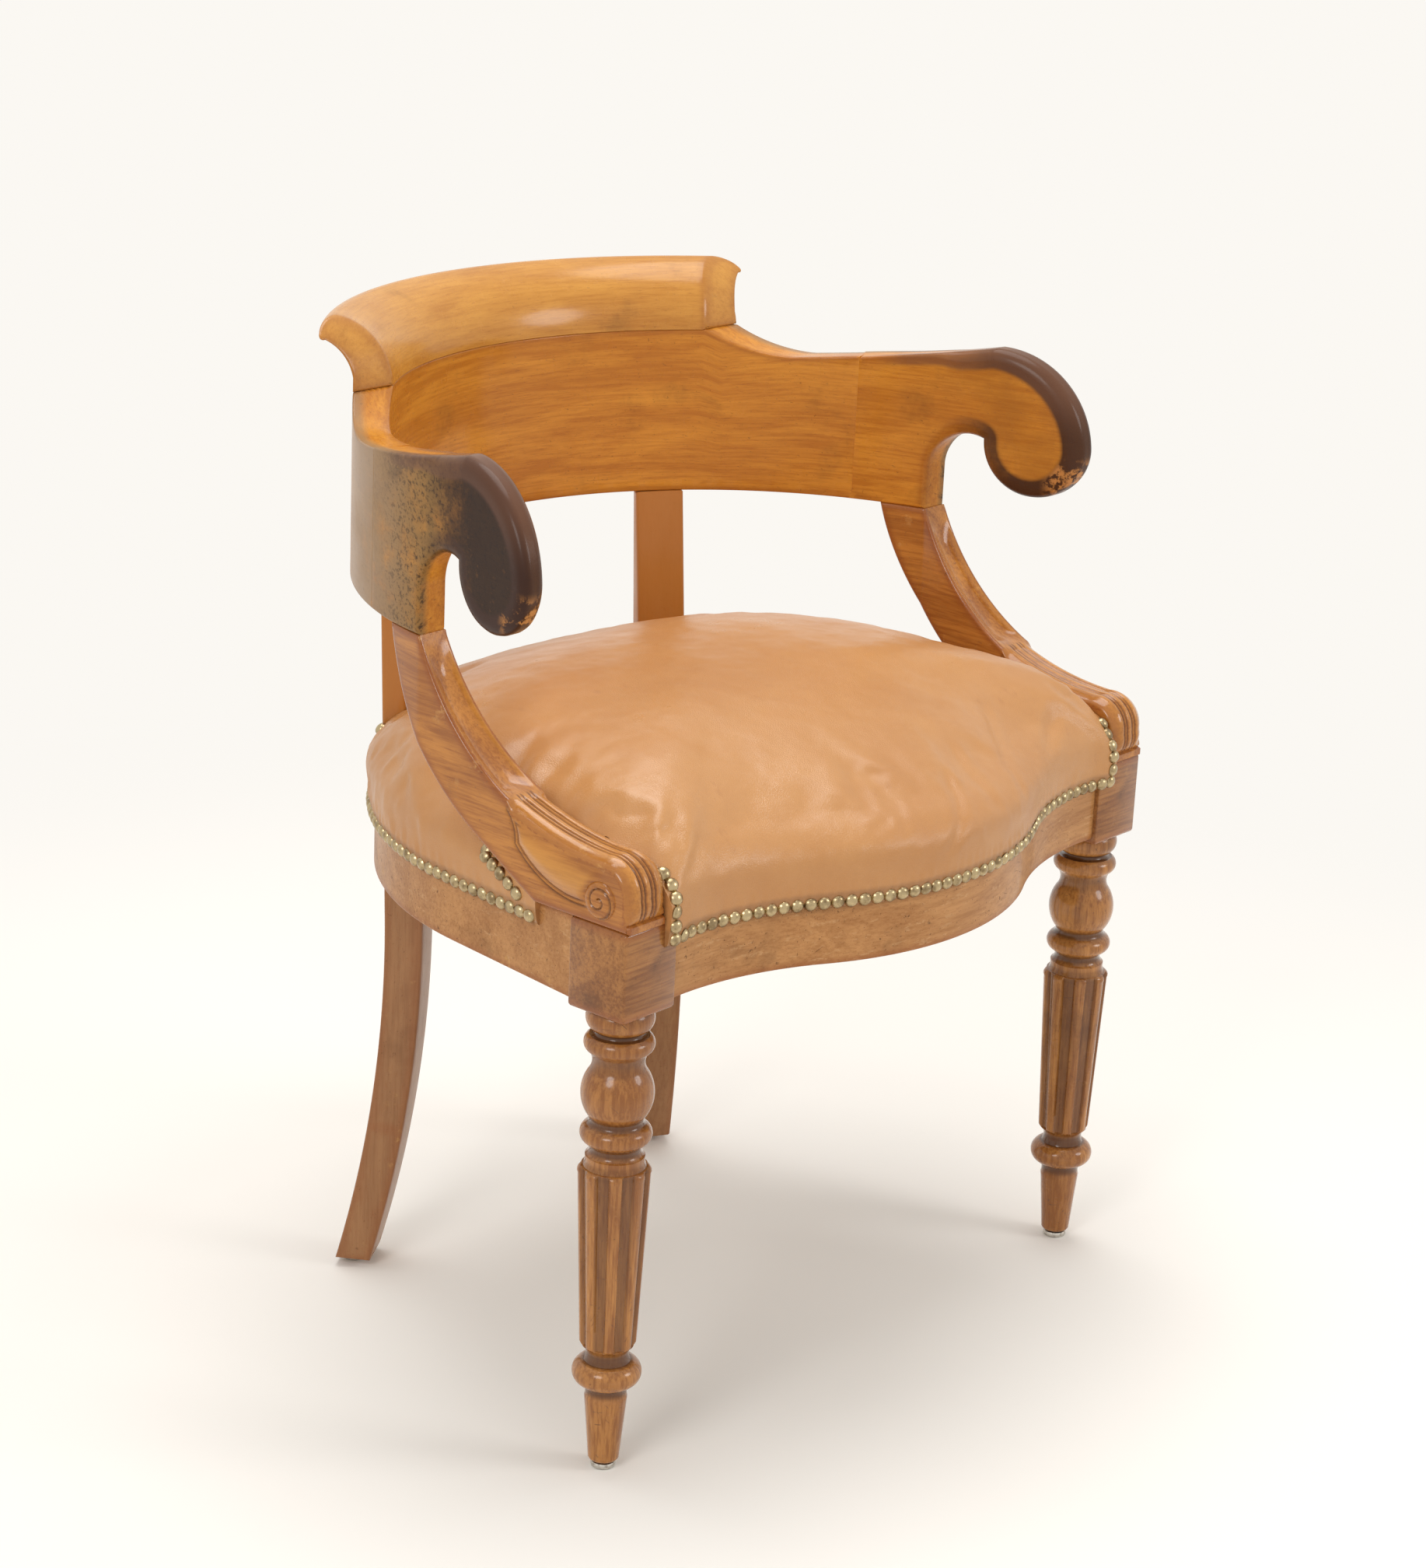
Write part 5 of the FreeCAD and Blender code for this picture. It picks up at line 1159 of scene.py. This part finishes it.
def normals_of(mesh):
    """A mesh's outward directions at its points."""
    flat = np.zeros(len(mesh.vertices) * 3, np.float32)
    mesh.vertex_normals.foreach_get("vector", flat)
    return flat.reshape(-1, 3).astype(float)


def move_to(mesh, places):
    mesh.vertices.foreach_set("co", (places * MM).astype(np.float32).ravel())
    mesh.update()


def held_points(places):
    """The hide is held by its nails along the hem, and where it is tucked in beside supports and posts."""
    low = places[:, 2] < HEM + 13
    beside = (np.abs(places[:, 0]) > SUPPORT_IN - 9) & (places[:, 1] < AXIS_Y + 70)
    radial = np.hypot(places[:, 0], places[:, 1] - AXIS_Y)
    turn = np.degrees(np.arctan2(np.abs(places[:, 0]), places[:, 1] - AXIS_Y))
    post = (np.abs(turn - REAR_ANGLE) < 6) & (radial > 248)
    return np.flatnonzero(low | beside | post)


def swell(piece):
    """Lets the hide swell over its stuffing as cloth, within a cap and hardly sinking."""
    start, outward = places_of(piece.data), normals_of(piece.data)
    held = piece.vertex_groups.new(name="held")
    held.add([int(i) for i in held_points(start)], 1.0, "REPLACE")
    cloth = piece.modifiers.new("swell", "CLOTH")
    cloth.settings.quality = 4
    cloth.settings.mass = 0.35
    cloth.settings.tension_stiffness = cloth.settings.compression_stiffness = 30
    cloth.settings.shear_stiffness = 12
    cloth.settings.bending_stiffness = 4
    cloth.settings.shrink_min = -0.03
    cloth.settings.vertex_group_mass = held.name
    cloth.settings.use_pressure = True
    cloth.settings.uniform_pressure_force = 4.0
    cloth.settings.effector_weights.gravity = 0.0
    cloth.point_cache.frame_start, cloth.point_cache.frame_end = 1, SWELL_FRAMES
    for number in range(1, SWELL_FRAMES + 1):
        bpy.context.scene.frame_set(number)
    shape = piece.evaluated_get(bpy.context.evaluated_depsgraph_get()).to_mesh()
    moved = places_of(shape) - start
    piece.modifiers.clear()
    piece.vertex_groups.clear()
    bpy.context.scene.frame_set(1)
    length = np.linalg.norm(moved, axis=1, keepdims=True)
    moved *= np.minimum(1.0, SWELL_CAP / np.maximum(length, 1e-6))
    rise = (moved * outward).sum(1, keepdims=True)
    moved += outward * np.maximum(0.0, -SWELL_SINK - rise)
    move_to(piece.data, start + moved)


def wrinkle(piece):
    """Presses creases, the nails' pull and soft lumps into the hide, and sinks it beside the supports."""
    mesh = piece.data
    places = places_of(mesh)
    lumps = np.array([sum(high * noise.noise(Vector(place) * fine) for high, fine in LUMPS)
                      for place in places])
    rising = np.clip((places[:, 2] - HEM - 12) / 30, 0, 1)
    along = np.arctan2(places[:, 0], places[:, 1] - AXIS_Y - 10) * RAIL_RADIUS
    pull = 0.45 * np.exp(-((places[:, 2] - HEM - 16) / 7) ** 2) * np.cos(math.tau * along / NAIL_PITCH)
    shift = (1.1 * lumps - 1.4 * crease_depths(places)) * rising + pull
    moved = places + normals_of(mesh) * shift[:, None]
    beside = np.clip(SUPPORT_IN - np.abs(places[:, 0]), 0, None)
    forward = np.clip((AXIS_Y + 45 - places[:, 1]) / 60, 0, 1)
    raised = np.clip((places[:, 2] - SEAT_TOP) / 25, 0, 1)
    moved[:, 2] -= 11.0 * np.exp(-((beside / 13) ** 2)) * forward * raised
    move_to(mesh, moved)


def keep_modifiers(piece):
    """Makes what a piece's modifiers give its own plain mesh."""
    shape = bpy.data.meshes.new_from_object(piece.evaluated_get(bpy.context.evaluated_depsgraph_get()))
    piece.modifiers.clear()
    old, piece.data = piece.data, shape
    bpy.data.meshes.remove(old)


def even_mesh(piece):
    """Gives a solid a mesh of even faces, which cloth needs."""
    layer = piece.modifiers.new("even", "REMESH")
    layer.mode, layer.voxel_size = "VOXEL", VOXEL * MM
    keep_modifiers(piece)


def finer(piece):
    layer = piece.modifiers.new("finer", "SUBSURF")
    layer.levels = layer.render_levels = 1
    keep_modifiers(piece)


def close_base(piece, level=None):
    """Fills the dome's open base, first carried down to a level if one is given, so that it can be cut."""
    work = bmesh.new()
    work.from_mesh(piece.data)
    rim = [edge for edge in work.edges if edge.is_boundary]
    if level is not None:
        low = bmesh.ops.extrude_edge_only(work, edges=rim)["geom"]
        for vert in low:
            if isinstance(vert, bmesh.types.BMVert):
                vert.co.z = level * MM
        rim = [edge for edge in work.edges if edge.is_boundary]
    bmesh.ops.contextual_create(work, geom=rim)
    bmesh.ops.recalc_face_normals(work, faces=work.faces)
    work.to_mesh(piece.data)
    work.free()


def leather_piece():
    """The hide: the swollen dome cut round supports and posts, less the hollow that the stuffing fills."""
    hide = build("leather_cover", *seat_skin(0.0, 1.5, 30), sharp=80)
    close_base(hide)
    even_mesh(hide)
    swell(hide)
    finer(hide)
    wrinkle(hide)
    inside = build("leather_hollow", *seat_skin(HIDE, HOLLOW_SINK, HOLLOW_RINGS), sharp=80)
    close_base(inside, BASE_LEVEL)
    take_away(inside, seat_cutters(HIDE))
    take_away(hide, seat_cutters(0.0) + [inside])
    return hide


def cutter(name, outline, half, place):
    return board_piece(name, outline, half, 0.05, place)


def take_away(piece, cutters):
    """Cuts solids out of a piece and throws the cutters away."""
    for tool in cutters:
        cut = piece.modifiers.new("cut", "BOOLEAN")
        cut.operation, cut.solver, cut.object = "DIFFERENCE", "EXACT", tool
    keep_modifiers(piece)
    for tool in cutters:
        bpy.data.objects.remove(tool)
    piece.data.shade_smooth()
    piece.data.set_sharp_from_angle(angle=math.radians(50))


def support_space(gap):
    """Side view of all that lies in front of a support's back line, down to below the hem."""
    low, front = HEM - 12, -300
    line = support_back(Outline(HEEL + gap, low, 6).line(HEEL + gap, SEAT_TOP), gap)
    return line.line(front, BAND_BOTTOM).line(front, low).line(HEEL + gap, low).points


def seat_cutters(thick):
    """The spaces of supports and posts, a thickness larger all round."""
    tools = []
    gap = 0.4 + thick
    for side, sign in SIDES.items():
        near, far = SUPPORT_IN - gap, 400
        middle, half = (near + far) / 2, (far - near) / 2
        tools.append(cutter(f"{side}_support_space", support_space(gap), half,
                            lambda u, v, w, s=sign, m=middle: (s * (m + w), AXIS_Y + u, v)))
        post = [(v, u) for u, v in rear_leg_outline(gap)]
        tools.append(cutter(f"{side}_post_space", post, REAR_WIDTH / 2 + gap,
                            upright(rear_leg_place(-sign * REAR_ANGLE))))
    return tools


def hide_finish():
    """Tan grain leather: fine pebble, soft clouds of tone, fine cracks, painted shade by the nails and a
    satin wax.
    """
    finish = Finish("tan_leather")
    place = object_place(finish)
    pebble = finish.node("ShaderNodeTexVoronoi", {"feature": "DISTANCE_TO_EDGE"},
                         {"Vector": place, "Scale": 620.0})
    fine = finish.noise(place, 900.0, 3.0)
    cloud = finish.noise(place, 9.0, 5.0, 0.6)
    mottle = finish.noise(place, 60.0, 4.0, 0.6)
    tone = (cloud.ramp(0.3, 0.72) * 0.7 + mottle * 0.4).clamp()
    colour = finish.mix(tone, (0.56, 0.278, 0.102, 1), (0.475, 0.214, 0.069, 1))
    crack = finish.noise(finish.stretched(place, (60, 26, 40)), 1.0, 6.0, 0.65)
    colour = finish.mix(crack.ramp(0.62, 0.74) * 0.25, colour, (0.33, 0.13, 0.045, 1))
    level = finish.axis(place, 2)
    # Painted shade: darker from just above the nail row down, and darker still below the nails to the hem.
    hem = (level.ramp(0.4215, 0.4175) * 0.35 + level.ramp(0.409, 0.405) * 0.5).clamp()
    colour = finish.mix(hem, colour, (0.14, 0.06, 0.025, 1))
    rough = cloud.ramp(0.3, 0.7) * 0.1 + mottle * 0.12 + 0.22
    height = pebble.ramp(0.0, 0.25) * 0.5 + fine * 0.3 + crack * 0.5
    finish.set(Base_Color=colour, Roughness=rough, Normal=finish.bump(height, 0.2, 0.0008))
    return finish.material


leather = leather_piece()
fit(leather, "leather", hide_finish(), "seat_leather")


# Stuffing. Curled horsehair is built up on the hessian and stitched into the dome that the hide covers;
# nothing of it is seen, and it is cut round the supports and posts as the hide is.

STUFFING_GAP = 0.6


def hair_finish():
    finish = Finish("curled_hair")
    place = object_place(finish)
    strands = finish.noise(finish.stretched(place, (300, 900, 500)), 1.0, 5.0, 0.7)
    colour = finish.mix(strands.ramp(0.3, 0.7), (0.06, 0.045, 0.03, 1), (0.24, 0.18, 0.12, 1))
    finish.set(Base_Color=colour, Roughness=0.95, Normal=finish.bump(strands, 0.8, 0.002))
    return finish.material


def stuffing_piece():
    """The dome inside the hide, level where it lies on the hessian."""
    inset, depth = HIDE + STUFFING_GAP, 50
    stuffing = build("hair_stuffing", *seat_skin(inset, HOLLOW_SINK, HOLLOW_RINGS), sharp=60)
    close_base(stuffing, BASE_LEVEL)
    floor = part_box("seat_stuffing")[0].z / MM
    below = cutter("space_below", rounded_square(400, 1), depth, lambda u, v, w: (u, v, floor - depth + w))
    take_away(stuffing, seat_cutters(inset) + [below])
    return stuffing


stuffing = stuffing_piece()
fit(stuffing, "stuffing", hair_finish(), "seat_stuffing")


# Dome nails. Antiqued brass heads are driven edge to edge through the hide along its hem, up beside each
# support's toe and behind its heel, and three stand in front of each rear post.

NAIL_RADIUS, NAIL_RISE = 5.3, 3.6


def brass_finish():
    finish = Finish("antique_brass")
    place = object_place(finish)
    tarnish = finish.noise(place, 130.0, 4.0, 0.6)
    rub = finish.noise(place, 420.0, 3.0)
    colour = finish.mix(tarnish.ramp(0.4, 0.68), (0.50, 0.39, 0.22, 1), (0.24, 0.17, 0.09, 1))
    finish.set(Base_Color=colour, Roughness=tarnish * 0.2 + rub * 0.1 + 0.14, Metallic=1.0)
    return finish.material


def islands(node):
    """The separate solids of a node, each as the list of its points."""
    work = bmesh.new()
    work.from_mesh(nodes[node].data)
    bmesh.ops.remove_doubles(work, verts=work.verts, dist=1e-6)
    left = set(work.verts)
    groups = []
    while left:
        group, queue = [], [left.pop()]
        while queue:
            vert = queue.pop()
            group.append(vert.co.copy())
            fresh = {edge.other_vert(vert) for edge in vert.link_edges} & left
            left -= fresh
            queue.extend(fresh)
        groups.append(group)
    work.free()
    return groups


def even_rows(middles):
    """The nails behind the heel and beside the toe, set touching along the rows that the solids mark."""
    halfway = (AXIS_Y + (TOE + HEEL) / 2) * MM
    spaced = []
    toe = [place for place in middles if place.y < halfway]
    heel = [place for place in middles if place.y >= halfway]
    for row in (toe, heel):
        row.sort(key=lambda place: place.z)
        steps = [(b - a).length for a, b in zip(row, row[1:])]
        marks = np.concatenate([[0.0], np.cumsum(steps)])
        count = round(marks[-1] / (NAIL_PITCH * MM)) + 1
        for along in np.linspace(0.0, marks[-1], count):
            spaced.append(Vector([np.interp(along, marks, [place[axis] for place in row])
                                  for axis in range(3)]))
    return spaced


def post_nails(angle):
    """Three nails on the hide in front of a rear post."""
    places = []
    for step in range(3):
        radius = RAIL_RADIUS - 2 - NAIL_PITCH * step
        turn = abs(angle) + math.degrees((REAR_WIDTH / 2 + 6) / radius)
        places.append(on_back(radius, math.copysign(turn, angle), 455 + 5 * step) * MM)
    return places


def nail_places(node, surface):
    """Where each nail of a solid group stands, set down on the hide."""
    middles = [sum(group, Vector()) / len(group) for group in islands(node)]
    if "support" in node:
        middles = even_rows(middles)
    if "side" in node:
        middles += post_nails(math.copysign(REAR_ANGLE, -middles[0].x))
    middles.sort(key=tuple)
    return [surface.find_nearest(middle)[:2] for middle in middles]


def nail_head(rings=4, turns=12):
    """One low domed head, its rim on the ground and its crown up."""
    points = []
    for ring in range(rings):
        lean = math.pi / 2 * ring / rings
        radius, rise = NAIL_RADIUS * math.cos(lean), NAIL_RISE * math.sin(lean)
        for step in range(turns):
            turn = math.tau * step / turns
            points.append((radius * math.cos(turn), radius * math.sin(turn), rise))
    points.append((0, 0, NAIL_RISE))
    faces = ring_faces(rings, turns)
    last = (rings - 1) * turns
    faces += [(last + step, last + (step + 1) % turns, rings * turns) for step in range(turns)]
    faces.append(tuple(reversed(range(turns))))
    return build("nail_head", points, faces, sharp=80)


def nail_tree(head, finish):
    """Sets the head on every point, turned to the stored outward direction."""
    tree = bpy.data.node_groups.new("nail_row", "GeometryNodeTree")
    tree.interface.new_socket("Geometry", in_out="INPUT", socket_type="NodeSocketGeometry")
    size = tree.interface.new_socket("Head size", in_out="INPUT", socket_type="NodeSocketFloat")
    tree.interface.new_socket("Geometry", in_out="OUTPUT", socket_type="NodeSocketGeometry")
    kinds = {"start": "NodeGroupInput", "head": "GeometryNodeObjectInfo",
             "facing": "GeometryNodeInputNamedAttribute", "turn": "FunctionNodeAlignRotationToVector",
             "set": "GeometryNodeInstanceOnPoints", "real": "GeometryNodeRealizeInstances",
             "coat": "GeometryNodeSetMaterial", "end": "NodeGroupOutput"}
    made = {key: tree.nodes.new(kind) for key, kind in kinds.items()}
    made["head"].inputs["Object"].default_value = head
    made["facing"].data_type = "FLOAT_VECTOR"
    made["facing"].inputs["Name"].default_value = "facing"
    made["turn"].axis = "Z"
    made["coat"].inputs["Material"].default_value = finish
    for out_key, out, in_key, socket in (
            ("start", "Geometry", "set", "Points"), ("head", "Geometry", "set", "Instance"),
            ("facing", "Attribute", "turn", "Vector"), ("turn", "Rotation", "set", "Rotation"),
            ("start", "Head size", "set", "Scale"), ("set", "Instances", "real", "Geometry"),
            ("real", "Geometry", "coat", "Geometry"), ("coat", "Geometry", "end", "Geometry")):
        tree.links.new(made[out_key].outputs[out], made[in_key].inputs[socket])
    return tree, size.identifier


def nail_row(name, node, tree, size, surface):
    """All the heads of one group of nails, made real as one mesh."""
    places = nail_places(node, surface)
    mesh = bpy.data.meshes.new(name)
    mesh.from_pydata([hit for hit, normal in places], [], [])
    facing = mesh.attributes.new("facing", "FLOAT_VECTOR", "POINT")
    facing.data.foreach_set("vector", [part for hit, normal in places for part in normal])
    row = in_scene(name, mesh)
    layer = row.modifiers.new("nails", "NODES")
    layer.node_group = tree
    layer[size] = 1.0
    keep_modifiers(row)
    row.data.shade_smooth()
    return row


hide_surface = BVHTree.FromObject(leather, bpy.context.evaluated_depsgraph_get())
brass = brass_finish()
head = nail_head()
nail_group, head_size = nail_tree(head, brass)
for node in ("front_nails", "right_side_nails", "left_side_nails", "back_nails", "right_support_nails",
             "left_support_nails"):
    fit(nail_row(node + "_domed", node, nail_group, head_size, hide_surface), "aged_brass", brass, node)
bpy.data.objects.remove(head)


# Glides. A turned, nickelled disc with a narrower neck is driven into the end of each foot; the four discs
# are all that touches the floor.

GLIDE_PROFILE = ((0.3, 0.1), (7.6, 0.1), (8.7, 0.6), (9.1, 1.6), (9.1, 3.2), (8.6, 4.3), (6.4, 4.8),
                 (5.8, 6.4), (0.3, 6.4))


def glide_finish():
    finish = Finish("dull_nickel")
    scuff = finish.noise(object_place(finish), 300.0, 4.0)
    colour = finish.mix(scuff.ramp(0.45, 0.7), (0.62, 0.60, 0.55, 1), (0.32, 0.29, 0.25, 1))
    finish.set(Base_Color=colour, Roughness=scuff * 0.25 + 0.25, Metallic=1.0)
    return finish.material


def glide_pieces():
    """Turned discs under all four feet, at the middles of the solids they replace."""
    corners = np.array([vert.co for vert in nodes["foot_glides"].data.vertices]) / MM
    low = corners[corners[:, 2] < 0.5]
    points, faces = [], []
    turns, rings = 40, len(GLIDE_PROFILE)
    for right in (True, False):
        for front in (True, False):
            near = low[((low[:, 0] < 0) == right) & ((low[:, 1] < 0) == front)]
            middle = (near.min(0) + near.max(0)) / 2
            base = len(points)
            for radius, height in GLIDE_PROFILE:
                for step in range(turns):
                    turn = math.tau * step / turns
                    x, y = middle[0] + radius * math.cos(turn), middle[1] + radius * math.sin(turn)
                    points.append((x, y, height))
            faces += ring_faces(rings, turns, base)
            faces.append(tuple(range(base, base + turns)))
            faces.append(tuple(range(base + (rings - 1) * turns, base + rings * turns)))
    return build("nickel_glides", points, faces, sharp=35)


fit(glide_pieces(), "nickel", glide_finish(), "foot_glides")


# Floor, light and camera. A pale seamless paper floor lies under three large soft lights and an even pale
# ground; the camera stands to the chair's front right and looks a little down on it.

PALE = (0.965, 0.938, 0.893, 1)
SEEN_RAYS = ("Is Camera Ray", "Is Glossy Ray", "Is Transmission Ray")


def floor_finish():
    """Pale paper that takes the chair's shadow, and away from the chair runs out into a plain pale ground."""
    finish = Finish("pale_floor")
    away = finish.node("ShaderNodeVectorMath", {"operation": "LENGTH"}, {0: object_place(finish)}, 1)
    rays = [finish.node("ShaderNodeLightPath", {}, {}, ray) for ray in SEEN_RAYS]
    plain = (away.ramp(0.55, 1.5) * sum(rays, 0).clamp()).clamp()
    finish.set(Base_Color=finish.mix(plain, (0.95, 0.92, 0.87, 1), (0, 0, 0, 1)), Roughness=0.8,
               Emission_Color=finish.mix(plain, (0, 0, 0, 1), PALE), Emission_Strength=1.0,
               Specular_IOR_Level=0.0, Alpha=1 - finish.node("ShaderNodeNewGeometry", {}, {}, "Backfacing"))
    return finish.material


def make_floor(half=40.0):
    mesh = bpy.data.meshes.new("studio_floor")
    corners = [(-half, -half, 0), (half, -half, 0), (half, half, 0), (-half, half, 0)]
    mesh.from_pydata(corners, [], [(0, 1, 2, 3)])
    mesh.materials.append(floor_finish())
    floor = in_scene("studio_floor", mesh)


def soft_light(name, place, aim, size, power):
    lamp = bpy.data.lights.new(name, "AREA")
    lamp.shape, lamp.size, lamp.energy = "DISK", size, power
    holder = in_scene(name, lamp)
    holder.location = place
    holder.rotation_euler = (Vector(aim) - Vector(place)).to_track_quat("-Z", "Y").to_euler()


def make_world():
    """Even soft light; the camera and glossy surfaces see the pale ground instead."""
    world = bpy.data.worlds.new("studio")
    world.use_nodes = True
    tree = world.node_tree
    paths = tree.nodes.new("ShaderNodeLightPath")
    seen = paths.outputs[SEEN_RAYS[0]]
    for ray in SEEN_RAYS[1:]:
        both = tree.nodes.new("ShaderNodeMath")
        both.operation = "MAXIMUM"
        tree.links.new(seen, both.inputs[0])
        tree.links.new(paths.outputs[ray], both.inputs[1])
        seen = both.outputs[0]
    ground, light, pick = (tree.nodes.new(kind) for kind in (
        "ShaderNodeBackground", "ShaderNodeBackground", "ShaderNodeMixShader"))
    ground.inputs["Color"].default_value = PALE
    light.inputs["Color"].default_value = (1.0, 0.98, 0.95, 1)
    light.inputs["Strength"].default_value = 0.6
    tree.links.new(seen, pick.inputs[0])
    tree.links.new(light.outputs[0], pick.inputs[1])
    tree.links.new(ground.outputs[0], pick.inputs[2])
    tree.links.new(pick.outputs[0], tree.nodes["World Output"].inputs["Surface"])
    tree.nodes.remove(tree.nodes["Background"])
    bpy.context.scene.world = world


def make_camera():
    azimuth, elevation, roll = (math.radians(value) for value in (-49.678, 18.408, 2.698))
    back = Vector((math.sin(azimuth) * math.cos(elevation), -math.cos(azimuth) * math.cos(elevation),
                   math.sin(elevation)))
    level = Vector((math.cos(azimuth), math.sin(azimuth), 0))
    rise = back.cross(level)
    right = level * math.cos(roll) + rise * math.sin(roll)
    up = rise * math.cos(roll) - level * math.sin(roll)
    camera = in_scene("camera", bpy.data.cameras.new("camera"))
    turn = Matrix((right, up, back)).transposed()
    camera.matrix_world = Matrix.Translation((-1.9989, -1.7150, 1.2913)) @ turn.to_4x4()
    camera.data.lens = 82.0
    camera.data.sensor_width = 36.0
    bpy.context.scene.camera = camera


make_floor()
make_world()
soft_light("overhead", (0.3, 0.4, 2.9), (0, 0, 0.4), 2.0, 41)
soft_light("front_left", (-2.6, -0.6, 2.0), (0, 0, 0.5), 1.2, 23)
soft_light("front_right", (1.4, -2.6, 1.8), (0, 0, 0.5), 1.2, 22)
make_camera()
bpy.context.scene.view_settings.view_transform = "Standard"
